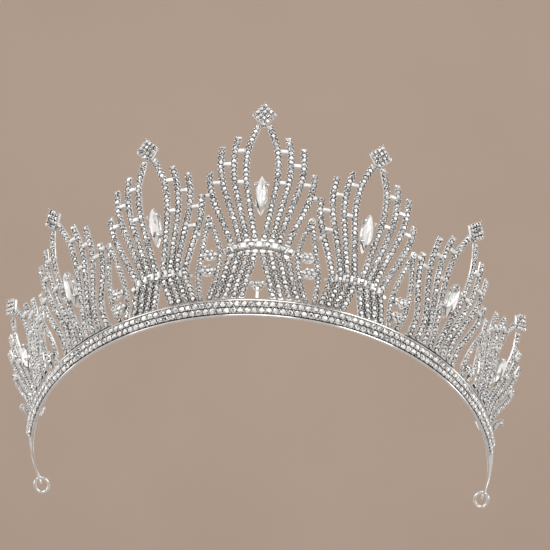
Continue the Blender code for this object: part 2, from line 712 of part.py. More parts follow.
def main():
    clear_scene()
    tiara = bpy.data.collections.new("bridal_tiara")
    bpy.context.scene.collection.children.link(tiara)
    root = bpy.data.objects.new("tiara_origin", None)
    tiara.objects.link(root)
    headband_strip(tiara)
    band_trim("bottom_rail", BOTTOM_RAIL, SILVER, tiara)
    band_trim("stone_row_lower", LOWER_ROW, STONES, tiara)
    band_trim("stone_row_upper", UPPER_ROW, STONES, tiara)
    band_trim("top_rail", TOP_RAIL, SILVER, tiara)
    trefoil(tiara)
    for fan in FANS:
        sides = (("", 1),) if fan[1] == 0.0 else (("_right", 1), ("_left", -1))
        for suffix, side in sides:
            fan_frame(f"{fan[0]}_fan{suffix}", fan, side, tiara)
            finial(f"{fan[0]}_finial{suffix}", fan, side, tiara)
            navette_setting(f"{fan[0]}_navette_setting{suffix}", fan, side, tiara)
            navette_crystal(f"{fan[0]}_navette{suffix}", fan, side, tiara)
    for loop in LOOPS:
        for side in (1, -1):
            pointed_loop(loop, side, tiara)
            lens_clusters(loop, side, tiara)
    for suffix, side in (("right", 1), ("left", -1)):
        pin_eye(f"pin_eye_{suffix}", side, tiara)
        end_ring(f"end_ring_{suffix}", side, tiara, root)
    for part in tiara.objects:
        if part is not root and part.parent is None:
            part.parent = root
    centre_on_origin(root, tiara)


main()
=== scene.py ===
"""Looks of the bridal tiara: polished silver work, rows of cut stones and seven navette crystals.

Every fixed piece is drawn flat in millimetres (X along the headband, Y up the
upstand, Z outward) and then bent onto the flared surface above the head curve,
as the CAD part is. Stones are separate cut bodies set in channels and plates.
"""
import math

import bpy
import numpy as np
from mathutils import Euler, Matrix, Vector

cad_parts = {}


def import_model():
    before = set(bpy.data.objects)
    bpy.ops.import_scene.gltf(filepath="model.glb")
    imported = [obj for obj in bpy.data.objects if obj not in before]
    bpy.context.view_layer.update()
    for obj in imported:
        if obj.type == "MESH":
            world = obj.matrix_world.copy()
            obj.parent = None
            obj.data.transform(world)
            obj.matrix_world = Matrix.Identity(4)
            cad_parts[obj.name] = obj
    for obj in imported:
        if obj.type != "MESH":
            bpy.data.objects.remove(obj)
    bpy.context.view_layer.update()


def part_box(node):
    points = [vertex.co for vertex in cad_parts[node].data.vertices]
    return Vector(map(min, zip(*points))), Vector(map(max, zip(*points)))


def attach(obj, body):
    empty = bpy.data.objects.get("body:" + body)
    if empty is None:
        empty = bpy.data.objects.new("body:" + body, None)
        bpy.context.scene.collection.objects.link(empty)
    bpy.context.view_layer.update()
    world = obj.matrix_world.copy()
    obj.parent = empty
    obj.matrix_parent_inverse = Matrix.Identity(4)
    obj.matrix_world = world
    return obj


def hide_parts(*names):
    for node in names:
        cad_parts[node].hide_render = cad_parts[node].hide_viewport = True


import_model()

MM = 0.001
SEED = 7

# Head curve and flare, as in the CAD part (mm).
FRONT_RADIUS = 66.0
SIDE_RADIUS = 110.0
EASE_LENGTH = 75.0
FLARE = math.radians(21.3)
LIFT = 0.5
ARC_STEP = 0.25
ARC_END = 165.0

# Headband (mm): half lengths, heights up the flare and depths out from the inner face.
BAND_HEIGHT = 4.9
STRIP_THICKNESS = 0.5
DECORATED_HALF = 114.0
EYE_AT = 141.0
EYE_HEIGHT = BAND_HEIGHT / 2
EYE_PAD_RADIUS = 2.0
EYE_HOLE_RADIUS = 0.95
EYE_PAD_DEPTH = (-0.1, 0.6)
EYE_PAD_EASE = 0.12
EYE_PAD_SIDES = 36
NECK_END = EYE_AT - 0.8 * EYE_PAD_RADIUS
NECK_HALF_HEIGHT = 1.5
STRIP_EASE = 0.1
STRIP_STATIONS = 261
BAND_STONE_RADIUS = 0.95
BAND_STONE_PITCH = 2.06
BAND_STONE_LEVEL = 1.28
ROW_END_CLEAR = 1.2
ROW_LAST_CLEAR = 1.0
LOWER_ROW_HEIGHT = 1.36
UPPER_ROW_HEIGHT = 3.28
# Turned cup under each stone, as (radius, depth) from its foot up.
ROW_CUP = ((0.75, 0.55), (1.0, 1.15), (0.96, 1.34), (0.88, 1.3), (0.8, 1.0))
ROW_CUP_SIDES = 12
# Beads between the stones: height above and below the row's middle, depth and radius.
ROW_BEAD = (0.62, 1.38, 0.26)
# Rails: lower and upper height, back and front depth.
TOP_RAIL = (4.27, 4.85, 0.55, 1.38)
BOTTOM_RAIL = (-0.5, 0.38, 0.55, 1.2)
RAIL_EASE = 0.18
RAIL_EASE_SHARE = 0.7
RAIL_STATIONS = 229

# Fans: label, place along the headband, waist height, size, lean.
FANS = (
    ("centre", 0.0, 21.5, 1.0, 0.0),
    ("second", 28.1, 15.1, 0.982, 0.0),
    ("third", 58.4, 7.3, 1.0, math.radians(4)),
    ("end", 93.4, 7.5, 0.93, math.radians(15)),
)
# An end fan stands steeper than the flare, its inner half more than its outer half.
UPRIGHT_SLOPE = 0.16
UPRIGHT_EASE = 0.0075
FOOT = 5.2
LOW_WAIST = 10.0

# Half of a fan, from the middle of its waist: (out, up) down the middle of each strand.
STRANDS = (
    ((4.7, -16), (3.2, -10), (1.65, -4.5), (1.1, 0), (2.1, 6), (4.4, 19), (4.85, 25), (4.2, 31.5),
     (1.6, 38.6)),
    ((7.0, -16), (5.5, -10), (4.15, -5), (3.35, -1), (4.7, 6), (8.25, 21), (8.5, 29.5), (7.5, 35)),
    ((9.5, -16), (7.85, -10), (6.6, -5), (5.7, -1), (7.3, 6.6), (11.2, 18.2), (12.55, 25), (12.4, 32)),
    ((12.0, -16), (10.15, -10), (9.1, -5), (8.1, -1), (10.5, 6), (13.2, 12), (15.4, 18.5), (16, 24.2)),
)
END_STRAND = ((12.9, -2), (14.2, 3), (16.9, 8), (20.5, 12.4))
CURVE_SAMPLES = 400
STRAND_STEP = 0.9
STRAND_END_CLEAR = 0.08
FOOT_SPREAD = 0.25
SPREAD_FROM = 7.0
STRAND_HALF_WIDTH = 1.11
# Stones of a strand: radius, pitch and depth of the widest part.
STRAND_STONE = (0.78, 1.44, 1.12)
# Bar under the stones: back depth, how far its floor and its edges lie under the stones, edge width.
STRAND_BAR = (0.4, 0.35, 0.06, 0.12)
BEAD_RADIUS = 0.29
BEAD_INSET = 0.14
BEAD_RISE = 0.1
# Oblong stones that bridge a strand and its outer neighbour: strand, height above the waist.
BAGUETTES = ((0, 30.3), (1, 26.1), (0, 20.2), (2, 20.3))
# The same for one fan only, with the half of the fan first.
EXTRA_BAGUETTES = {"second": ((-1, 2, 14.2),)}
BAGUETTE_HALF_HEIGHT = 0.65
BAGUETTE_CLEAR = 0.7
BAGUETTE_BEZEL = (0.55, 1.3, 0.08)
BAGUETTE_SHARE = 0.93
BAGUETTE_LEVELS = (1.2, 1.85)
STUB_START = 0.6
# Oblong stones on the outer side of the outermost strand: half of the fan, height, reach.
STUBS = {
    "centre": ((1, 16.5, 2.05), (-1, 16.5, 2.05)),
    "second": ((-1, 11.0, 1.75),),
    "third": ((-1, 12.8, 1.3), (-1, 21.6, 2.0)),
}

COLLAR_HALF_LENGTH = 10.4
COLLAR_LEVEL = 0.3
COLLAR_RISE = 2.0
COLLAR_STEPS = 25
# Channel sections: half width, back, floor and top depth, and the wall's width.
COLLAR_SECTION = (1.18, 0.3, 1.15, 1.38, 0.22)
COLLAR_STONES = 9
COLLAR_END_CLEAR = 1.05
COLLAR_STONE_HALF = 0.98
COLLAR_STONE_LEVEL = 1.55
COLLAR_SQUARE_LEVELS = (1.5, 2.1)
COLLAR_BEAD = (0.75, 1.6, 0.24)
# How far from the collar's middle line the strands have no stones.
COLLAR_SKIP = 1.95
# Corners of a square of half size 1, counter-clockwise.
SQUARE = ((-1, -1), (1, -1), (1, 1), (-1, 1))
SEAM_BAR_SECTION = (0.55, 0.3, 0.7, 0.75, 0.15)
SEAM_STONE_HALF = (0.4, 1.15)
SEAM_STONE_LEVELS = (1.4, 2.1)
FOOT_BAR_HEIGHT = 0.8
FOOT_BAR_OVERHANG = 1.2
FOOT_BAR_STEPS = 25
# The foot bar's channel, without its half width.
FOOT_BAR_DEPTHS = (0.25, 1.0, 1.05, 0.14)

FINIAL_CENTRE = 41.7
FINIAL = ((0, 4.1), (2.2, 2.2), (3.85, 0.2), (2.1, -1.8), (0.45, -3.9),
          (-0.45, -3.9), (-2.1, -1.8), (-3.85, 0.2), (-2.2, 2.2))
FINIAL_GRID = 4
FINIAL_PITCH = 1.42
FINIAL_STONE = 0.69
FINIAL_STONE_LEVEL = 1.5
FINIAL_GRID_RISE = 0.15
FINIAL_BEAD = (1.55, 0.2)
FINIAL_PLATE = (0.3, 1.25, 0.14)
FINIAL_PLATE_SHARE = 0.93

NAVETTE_CENTRE = 16.1
NAVETTE_HALF_LENGTH = 6.0
NAVETTE_HALF_WIDTH = 1.75
NAVETTE_POINTS = 5
NAVETTE_INSET = 0.05
# Rings of the crystal: share of its width, share of its length, depth. The girdle has two depths.
NAVETTE_BACK = (0.8, 0.93, 1.0)
NAVETTE_GIRDLE = (1.5, 1.9)
NAVETTE_BREAKS = (0.82, 0.88, 2.75)
NAVETTE_TABLE = (0.45, 0.62, 3.2)
# Low peak of the table: out, above the middle, depth.
NAVETTE_PEAK = (0.15, 1.2, 3.45)
# Two steps of the gallery: how much longer and wider than the crystal, back, front, bevel.
GALLERY = ((0.45, 0.22, 0.1, 0.7, 0.1), (0.2, 0.1, 0.6, 1.3, 0.15))
GALLERY_POINTS = 12
PRONG_AT = 3.4
# Path of a claw from the gallery to its tip, as (out, depth, radius).
PRONG = ((1.5, 0.45, 0.24), (1.85, 0.5, 0.26), (2.02, 0.85, 0.28), (2.02, 1.9, 0.3), (1.85, 2.45, 0.32),
         (1.45, 2.8, 0.3), (1.05, 2.95, 0.16))
PRONG_SIDES = 8

# Pointed loops between the fans: name, place of the foot, middle line as (out, height) from foot
# to head, height where it is widest, and the heights of the lens clusters in it.
LOOPS = (
    ("inner", 15.2, ((0.0, 5.2), (-1.3, 13.5), (-2.45, 19.5), (-2.5, 25.5), (-2.15, 30.7)), 16.0,
     (18.9, 14.1)),
    ("middle", 42.0, ((0.0, 5.2), (0.9, 29.9)), 12.5, (13.6, 8.9)),
    ("outer", 75.9, ((0.0, 5.2), (1.3, 22.5)), 9.5, (8.6,)),
)
LOOP_HALF_WIDTH = 3.0
LOOP_FOOT_ANGLE = math.radians(66)
LOOP_WIRE_HALF = 0.92
LOOP_STONE = (0.64, 1.22, 1.1)
LOOP_STEPS = 40
LOOP_HEAD_CLEAR = 0.8
LOOP_HEAD_CUP = ((1.0, 0.3), (1.1, 0.45), (1.1, 1.35), (0.95, 1.5))
LOOP_HEAD_STONE = 0.8
LOOP_HEAD_LEVEL = 1.5
CLUSTER_HALF_HEIGHT = 1.75
# How far a cluster reaches past the inner edge of the loop's wire.
CLUSTER_OVERLAP = 0.55
CLUSTER_POINTS = 24
CLUSTER_PLATE = (0.5, 1.75, 0.2)
CLUSTER_PLATE_SHARE = 0.88
CLUSTER_STONE_LEVEL = 1.95
# Stones of a cluster from its middle: out, up, radius.
CLUSTER_STONES = ((0.0, 0.0, 0.72), (-1.35, 0.0, 0.6), (1.35, 0.0, 0.6), (-2.2, 0.0, 0.38), (2.2, 0.0, 0.38),
                  (-0.7, 1.12, 0.55), (0.7, 1.12, 0.55), (-0.7, -1.12, 0.55), (0.7, -1.12, 0.55))

# Stones of the trefoil: out, height, radius.
TREFOIL_STONES = ((-1.55, 9.7, 0.72), (0.0, 9.75, 0.72), (1.55, 9.7, 0.72), (-0.8, 8.5, 0.66),
                  (0.8, 8.5, 0.66), (0.0, 7.45, 0.5))
TREFOIL_STONE_LEVEL = 1.45
TREFOIL_STEM_TOP = 8.4
TREFOIL_STEM_STEPS = 12
TREFOIL_STEM_SECTION = ((0.5, 0.7), (0.5, 1.35), (0.34, 1.55), (-0.34, 1.55), (-0.5, 1.35), (-0.5, 0.7))
TREFOIL_ARM = ((0.0, 7.6), (1.0, 8.5), (2.3, 9.8))
TREFOIL_ARM_SECTION = ((0.35, 0.8), (0.35, 1.15), (0.2, 1.3), (-0.2, 1.3), (-0.35, 1.15), (-0.35, 0.8))
# Cup round a trefoil stone: how much wider than the stone, and depth.
TREFOIL_CUP = ((-0.1, 0.5), (0.06, 1.1), (0.08, 1.4), (0.0, 1.35))
CUP_SIDES = 16

PIN_EYE_AT = 100.0
PIN_EYE_RADIUS = 1.3
PIN_EYE_WIRE = 0.38
PIN_EYE_STEPS = 48

RING_HALF_LENGTH = 3.8
RING_HALF_WIDTH = 2.25
RING_WIRE = 0.5
RING_DROOP = math.radians(8)
RING_STEPS = 72
WIRE_SIDES = 12

# Round stones: lean of the table, sides, and the rings below and above the widest part, as shares
# of the radius (across, up).
STONE_LEAN = 0.15
STONE_SIDES = 8
PAVILION_RING = (0.86, -0.22)
BREAK_RING = (0.78, 0.32)
TABLE_RING = (0.42, 0.5)
# Step-cut stones: depth of the lower edge, shares of the outline, and where the step lies.
STEP_EDGE = 0.15
STEP_SHARE = 0.86
STEP_AT = 0.62
STEP_TABLE_SHARE = 0.66
# How far the middle of a channel's wall stands above its shoulders.
CREST_RISE = 0.1
# Rounded tip of a prong, as (radius, height) in shares of its radius.
BEAD = ((0.9, -0.5), (1.0, 0.1), (0.72, 0.62), (0.3, 0.88))
BEAD_SIDES = 6
SMOOTH_ANGLE = math.radians(38)

# Camera: place (m), turn (degrees), lens and sensor width (mm), and how near and far it sees (m).
CAMERA_PLACE = (0.021239, -0.470823, -0.317247)
CAMERA_TURN = (127.8128, -2.4120, 0.3095)
CAMERA_LENS = 117.818
CAMERA_SENSOR = 36.0
CAMERA_CLIP = (0.01, 20.0)

# Stage (m): floor, backdrop sheet square to the camera, and the tone of the surroundings.
FLOOR_HALF = 3.0
FLOOR_LEVEL = -0.6
FLOOR_DARK = (0.60, 0.575, 0.55)
FLOOR_LIGHT = (0.64, 0.61, 0.585)
SHEET_DISTANCE = 2.3
SHEET_HALF = 0.62
SHEET_DARK = (0.615, 0.49, 0.405)
SHEET_LIGHT = (0.64, 0.51, 0.425)
PAPER_NOISE = (6.0, 2.0)
PAPER_STOPS = (0.3, 0.7)
PAPER_ROUGHNESS = 0.9
PAPER_SHINE = 0.1
WORLD_TONE = (0.58, 0.565, 0.555, 1.0)

# Soft boxes: azimuth from the front and elevation (degrees), distance and size (m), power (W).
LAMP_TONE = (1.0, 0.985, 0.965)
SOFT_BOXES = (
    ("front_box", 0, -6, 1.3, 0.75, 2.5),
    ("left_box", -52, 14, 1.2, 0.6, 2.3),
    ("right_box", 52, 8, 1.2, 0.6, 2.3),
    ("low_box", 8, -62, 1.2, 0.55, 0.8),
    ("top_box", 0, 46, 1.2, 0.7, 3.0),
    ("left_side_box", -112, -4, 1.2, 0.6, 2.0),
    ("right_side_box", 112, -4, 1.2, 0.6, 2.0),
    ("back_box", 180, 28, 1.3, 0.8, 1.8),
    ("glint_left", -24, 30, 1.2, 0.14, 1.6),
    ("glint_right", 27, -32, 1.2, 0.14, 1.6),
)


# ---------------------------------------------------------------- head curve

def curvature(s):
    """Curvature (1/mm) of the head curve at arc length s from the front."""
    return 1 / SIDE_RADIUS + (1 / FRONT_RADIUS - 1 / SIDE_RADIUS) * math.exp(-((s / EASE_LENGTH) ** 2))


def heading(s):
    """Direction of the head curve at arc length s from the front, turned from +X."""
    extra = (1 / FRONT_RADIUS - 1 / SIDE_RADIUS) * EASE_LENGTH * math.sqrt(math.pi) / 2
    return s / SIDE_RADIUS + extra * math.erf(s / EASE_LENGTH)


ARC = np.arange(0.0, ARC_END, ARC_STEP)
TURN = np.array([heading(s) for s in ARC])
MIDDLE_TURN = np.array([heading(s + ARC_STEP / 2) for s in ARC[:-1]])
ARC_X = np.concatenate([[0.0], np.cumsum(np.cos(MIDDLE_TURN)) * ARC_STEP])
ARC_Y = np.concatenate([[0.0], np.cumsum(np.sin(MIDDLE_TURN)) * ARC_STEP])

# The CAD part is centred over the origin; the front of the strip's upper edge tells by how much.
STRIP_REACH = BAND_HEIGHT * math.sin(FLARE) + STRIP_THICKNESS * math.cos(FLARE)
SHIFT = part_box("headband_strip")[0].y / MM + STRIP_REACH


def wrap(s, up, out):
    """World places (m) of points s along the headband, up the flare and out from it (mm)."""
    side = np.where(s < 0, -1.0, 1.0)
    turn = np.interp(np.abs(s), ARC, TURN)
    reach = up * math.sin(FLARE) + out * math.cos(FLARE)
    x = side * (np.interp(np.abs(s), ARC, ARC_X) + reach * np.sin(turn))
    y = np.interp(np.abs(s), ARC, ARC_Y) - reach * np.cos(turn) + SHIFT
    z = up * math.cos(FLARE) - out * math.sin(FLARE) + LIFT
    return np.stack([x, y, z], axis=1) * MM


def wrap_upstand(points, place):
    """Bend points of the upstand, drawn round place; the flare's widening is drawn in."""
    along, up, out = points.T
    s = place + along / (1 + curvature(abs(place)) * up * math.sin(FLARE))
    return wrap(s, up, out)


def bend_round(place):
    """How the flat pieces of a loop are bent into place round a point of the headband."""
    return lambda points: wrap_upstand(points, place)


def wrap_band(points):
    """Bend points of the headband; nothing dips under the plane that it stands on."""
    along, up, out = points.T
    return wrap(along, np.maximum(up, (out * math.sin(FLARE) - LIFT) / math.cos(FLARE)), out)


def bend_fan(fan, side):
    """How the flat pieces of a fan are bent into place; an end fan is first set more upright."""
    label, place = fan[:2]

    def bend(points):
        if label == "end":
            along, up, out = points.T
            rise = up - FOOT
            slope = UPRIGHT_SLOPE - UPRIGHT_EASE * side * along
            normal = np.column_stack([-side * UPRIGHT_EASE * rise, slope, np.ones(len(along))])
            normal /= np.linalg.norm(normal, axis=1, keepdims=True)
            points = np.column_stack([along, up, -rise * slope]) + out[:, None] * normal
        return wrap_upstand(points, side * place)

    return bend


# ---------------------------------------------------------------- flat drawing tools

class Drawing:
    """Vertices and faces of one piece, drawn flat in mm."""

    def __init__(self):
        self.blocks = []
        self.faces = []
        self.count = 0

    def add(self, points, faces):
        points = np.asarray(points, float).reshape(-1, 3)
        start = self.count
        self.blocks.append(points)
        self.faces.extend([tuple(index + start for index in face) for face in faces])
        self.count += len(points)

    def points(self):
        return np.concatenate(self.blocks)


def make_piece(name, drawing, bend, finish, mirrored=False, smooth=False):
    """A mesh object from a drawing, bent into place; the left side's pieces are mirrored."""
    points = drawing.points()
    faces = drawing.faces
    if mirrored:
        points = points * (-1, 1, 1)
        faces = [face[::-1] for face in faces]
    mesh = bpy.data.meshes.new(name)
    mesh.from_pydata(bend(points).tolist(), [], faces)
    mesh.update()
    mesh.materials.append(finish)
    if smooth:
        mesh.shade_smooth()
        mesh.set_sharp_from_angle(angle=SMOOTH_ANGLE)
    made = bpy.data.objects.new(name, mesh)
    bpy.context.scene.collection.objects.link(made)
    return made


def full_turn(steps):
    """Equally spaced angles round a circle."""
    return 2 * np.pi * np.arange(steps) / steps


def ring_faces(start, inner, count):
    """Quads between two rings of count points."""
    return [(start + i, start + (i + 1) % count, inner + (i + 1) % count, inner + i) for i in range(count)]


def loft(drawing, rings, closed=False, flipped=False):
    """Skin over rings of equally many points: capped at both ends, or closed into a ring itself."""
    count, size = len(rings), len(rings[0])
    faces = [] if closed else [tuple(range(size))[::-1]]
    for number in range(count if closed else count - 1):
        faces += ring_faces(number * size, (number + 1) % count * size, size)
    if not closed:
        faces.append(tuple(range((count - 1) * size, count * size)))
    if flipped:
        faces = [face[::-1] for face in faces]
    drawing.add(np.concatenate(rings), faces)


def lathe(drawing, x, y, profile, sides):
    """A turned body standing on the surface: profile is (radius, height) from its foot up."""
    angles = full_turn(sides)
    loft(drawing, [np.column_stack([radius * np.cos(angles) + x, radius * np.sin(angles) + y,
                                    np.full(sides, height)]) for radius, height in profile])


def crown_faces(girdle, count, peak=None):
    """Facets from the girdle's ring over the break ring to the table's ring, or up to a peak."""
    breaks, table = girdle + count, girdle + 2 * count
    faces = []
    for i in range(count):
        after = (i + 1) % count
        before = (i - 1) % count
        faces.append((girdle + i, girdle + after, breaks + i))
        faces.append((girdle + i, breaks + i, breaks + before))
        faces.append((breaks + i, table + after, table + i))
        faces.append((breaks + before, breaks + i, table + i))
        if peak is not None:
            faces.append((table + i, table + after, peak))
    return faces


def stone(drawing, x, y, height, radius, dice):
    """A round stone with a table, a ring of star facets and a ring of break facets."""
    sides = STONE_SIDES
    start = dice.uniform(0, 2 * math.pi)
    lean = dice.normal(0, STONE_LEAN, 2)
    half = math.pi / sides
    rings = ((*PAVILION_RING, 0.0), (1.0, 0.0, 0.0), (*BREAK_RING, half), (*TABLE_RING, 0.0))
    points = []
    for share, rise, offset in rings:
        angles = start + offset + full_turn(sides)
        across = share * radius * np.cos(angles)
        along = share * radius * np.sin(angles)
        level = height + rise * radius + lean[0] * across + lean[1] * along
        points.append(np.stack([x + across, y + along, level], axis=1))
    faces = [tuple(range(sides))[::-1]] + ring_faces(0, sides, sides) + crown_faces(sides, sides)
    faces.append(tuple(range(3 * sides, 4 * sides)))
    drawing.add(np.concatenate(points), faces)


def bead(drawing, x, y, height, radius):
    """Rounded tip of a prong that holds the stones."""
    profile = [(share * radius, height + rise * radius) for share, rise in BEAD]
    lathe(drawing, x, y, profile, BEAD_SIDES)


def at_level(flat, level):
    """Flat points, all at one depth."""
    return np.column_stack([flat, np.full(len(flat), level)])


def plate(drawing, outline, back, front, bevel):
    """A flat plate cut to a closed outline, with a small chamfer round its front."""
    outline = np.asarray(outline, float)
    middle = outline.mean(axis=0)
    reach = np.linalg.norm(outline - middle, axis=1, keepdims=True)
    inner = middle + (outline - middle) * (1 - bevel / np.maximum(reach, 2 * bevel))
    levels = ((outline, back), (outline, front - bevel), (inner, front))
    loft(drawing, [at_level(line, level) for line, level in levels])


def sweep(drawing, line, section, foot=None):
    """A bar with a constant section (across, height) along a flat line; the foot can be cut level."""
    line = np.asarray(line, float)
    along = np.gradient(line, axis=0)
    along /= np.linalg.norm(along, axis=1, keepdims=True)
    across = np.column_stack([along[:, 1], -along[:, 0]])
    offsets, heights = np.array(section).T
    flat = line[:, None, :] + across[:, None, :] * offsets[None, :, None]
    if foot is not None:
        flat[0, :, 1] = foot
    levels = np.broadcast_to(heights[None, :, None], flat.shape[:2] + (1,))
    loft(drawing, np.concatenate([flat, levels], axis=2), flipped=True)


def channel_section(half, back, floor, top, wall):
    """Section of a stone channel: a floor between two rounded rails."""
    inner = half - wall
    crest = half - wall / 2
    shoulder = top - CREST_RISE
    return ((half, back), (half, shoulder), (crest, top), (inner, shoulder), (inner, floor),
            (-inner, floor), (-inner, shoulder), (-crest, top), (-half, shoulder), (-half, back))


def resample(line, pitch, start=0.0):
    """Points at a constant pitch along a line, spread so that both ends stay clear."""
    line = np.asarray(line, float)
    lengths = np.concatenate([[0.0], np.cumsum(np.linalg.norm(np.diff(line, axis=0), axis=1))])
    usable = lengths[-1] - 2 * start
    count = max(2, round(usable / pitch) + 1)
    places = np.linspace(start, lengths[-1] - start, count)
    return np.column_stack([np.interp(places, lengths, line[:, 0]), np.interp(places, lengths, line[:, 1])])


def smooth_values(knots, at):
    """Catmull-Rom curve through (value, position) knots, read at many positions."""
    values = np.array([knot[0] for knot in knots], float)
    places = np.array([knot[1] for knot in knots], float)
    slopes = np.empty(len(values))
    slopes[1:-1] = (values[2:] - values[:-2]) / (places[2:] - places[:-2])
    slopes[0] = (values[1] - values[0]) / (places[1] - places[0])
    slopes[-1] = (values[-1] - values[-2]) / (places[-1] - places[-2])
    at = np.clip(at, places[0], places[-1])
    index = np.clip(np.searchsorted(places, at, side="right") - 1, 0, len(places) - 2)
    span = places[index + 1] - places[index]
    t = (at - places[index]) / span
    return ((2 * t ** 3 - 3 * t ** 2 + 1) * values[index] + (t ** 3 - 2 * t ** 2 + t) * slopes[index] * span
            + (3 * t ** 2 - 2 * t ** 3) * values[index + 1] + (t ** 3 - t ** 2) * slopes[index + 1] * span)


# ---------------------------------------------------------------- materials

def new_material(name):
    """A node material: the material, its nodes, its links and its shader."""
    made = bpy.data.materials.new(name)
    made.use_nodes = True
    nodes = made.node_tree.nodes
    return made, nodes, made.node_tree.links, nodes["Principled BSDF"]


def set_inputs(node, values):
    """Give inputs of a node their fixed values."""
    for name, value in values.items():
        node.inputs[name].default_value = value


def ramp_node(nodes, stops):
    """A colour ramp with (place, colour) stops."""
    ramp = nodes.new("ShaderNodeValToRGB")
    while len(ramp.color_ramp.elements) < len(stops):
        ramp.color_ramp.elements.new(0.5)
    for element, (place, colour) in zip(ramp.color_ramp.elements, stops):
        element.position = place
        element.color = (*colour, 1.0)
    return ramp


def noise_node(nodes, links, vector, scale, detail):
    """Noise read at a vector; the value that comes out."""
    noise = nodes.new("ShaderNodeTexNoise")
    set_inputs(noise, {"Scale": scale, "Detail": detail})
    links.new(vector, noise.inputs["Vector"])
    return noise.outputs["Fac"]


# Silver: scale and detail of its clouds, its wear and its scratches, how far the scratches are drawn
# out, their strength and depth, and the painted shade in recesses: how near a wall paints it, its ramp and
# samples.
CLOUD_NOISE = (700.0, 3.0)
CLOUD_STOPS = (0.35, 0.6)
WEAR_NOISE = (1500.0, 2.0)
SCRATCH_NOISE = (900.0, 4.0)
SCRATCH_STRETCH = (1.0, 1.0, 12.0)
SCRATCH_STRENGTH = 0.12
SCRATCH_DEPTH = 0.02 * MM
PAINTED_SHADE_REACH = 0.7 * MM
PAINTED_SHADE_STOPS = (0.25, 0.85)
PAINTED_SHADE_SAMPLES = 4
# Stones: how far apart the painted facet reflections of two stones lie, and the clear coat over the facets.
STONE_SPREAD = 91.0
STONE_COAT = 0.6
STONE_COAT_ROUGHNESS = 0.03


def silver_material(name, dark, bright, rough_low, rough_high, painted_shade_tone):
    """Rhodium-bright plating: cloudy polish, fine scratches and painted shade that darkens its recesses."""
    made, nodes, links, shader = new_material(name)
    where = nodes.new("ShaderNodeTexCoord").outputs["Object"]
    cloud = noise_node(nodes, links, where, *CLOUD_NOISE)
    tone = ramp_node(nodes, ((CLOUD_STOPS[0], dark), (CLOUD_STOPS[1], bright)))
    links.new(cloud, tone.inputs["Fac"])
    # Painted shade: an ambient-occlusion mask darkens the colour near walls, in recesses and between parts.
    painted_shade_mask = nodes.new("ShaderNodeAmbientOcclusion")
    painted_shade_mask.samples = PAINTED_SHADE_SAMPLES
    painted_shade_mask.inputs["Distance"].default_value = PAINTED_SHADE_REACH
    depth = ramp_node(nodes, ((PAINTED_SHADE_STOPS[0], (painted_shade_tone,) * 3), (PAINTED_SHADE_STOPS[1], (1.0,) * 3)))
    links.new(painted_shade_mask.outputs["AO"], depth.inputs["Fac"])
    mix = nodes.new("ShaderNodeMix")
    mix.data_type = "RGBA"
    mix.blend_type = "MULTIPLY"
    mix.inputs["Factor"].default_value = 1.0
    links.new(tone.outputs["Color"], mix.inputs["A"])
    links.new(depth.outputs["Color"], mix.inputs["B"])
    links.new(mix.outputs["Result"], shader.inputs["Base Color"])
    rough = nodes.new("ShaderNodeMapRange")
    set_inputs(rough, {"To Min": rough_low, "To Max": rough_high})
    links.new(noise_node(nodes, links, where, *WEAR_NOISE), rough.inputs["Value"])
    links.new(rough.outputs["Result"], shader.inputs["Roughness"])
    stretch = nodes.new("ShaderNodeMapping")
    stretch.inputs["Scale"].default_value = SCRATCH_STRETCH
    links.new(where, stretch.inputs["Vector"])
    bump = nodes.new("ShaderNodeBump")
    set_inputs(bump, {"Strength": SCRATCH_STRENGTH, "Distance": SCRATCH_DEPTH})
    links.new(noise_node(nodes, links, stretch.outputs["Vector"], *SCRATCH_NOISE), bump.inputs["Height"])
    links.new(bump.outputs["Normal"], shader.inputs["Normal"])
    shader.inputs["Metallic"].default_value = 1.0
    return made


def painted_facet_material(name, stops, normal_scale, roughness, metallic):
    """Foil-backed cut stone with painted reflections: each facet's colour is painted from dark to white by a
    noise of its normal.
    """
    made, nodes, links, shader = new_material(name)
    geometry = nodes.new("ShaderNodeNewGeometry")
    grow = nodes.new("ShaderNodeVectorMath")
    grow.operation = "SCALE"
    grow.inputs["Scale"].default_value = normal_scale
    links.new(geometry.outputs["True Normal"], grow.inputs[0])
    apart = nodes.new("ShaderNodeMath")
    apart.operation = "MULTIPLY"
    apart.inputs[1].default_value = STONE_SPREAD
    links.new(geometry.outputs["Random Per Island"], apart.inputs[0])
    place = nodes.new("ShaderNodeVectorMath")
    place.operation = "ADD"
    links.new(grow.outputs["Vector"], place.inputs[0])
    links.new(apart.outputs["Value"], place.inputs[1])
    # Painted reflection: the ramp paints dark and white facets into the base colour.
    light = ramp_node(nodes, stops)
    links.new(noise_node(nodes, links, place.outputs["Vector"], 1.0, 1.0), light.inputs["Fac"])
    links.new(light.outputs["Color"], shader.inputs["Base Color"])
    set_inputs(shader, {"Metallic": metallic, "Roughness": roughness, "Coat Weight": STONE_COAT,
                        "Coat Roughness": STONE_COAT_ROUGHNESS})
    return made


# Setting silver: the same plating painted darker, with a darker cloud tone and much deeper painted shade in
# its recesses, for the shade round the stones.
POLISHED = silver_material("polished_silver", (0.80, 0.79, 0.78), (0.93, 0.93, 0.92), 0.07, 0.2, 0.35)
SHADED_SETTING = silver_material("setting_silver_painted_shade", (0.66, 0.65, 0.64), (0.92, 0.92, 0.91), 0.16, 0.32, 0.11)
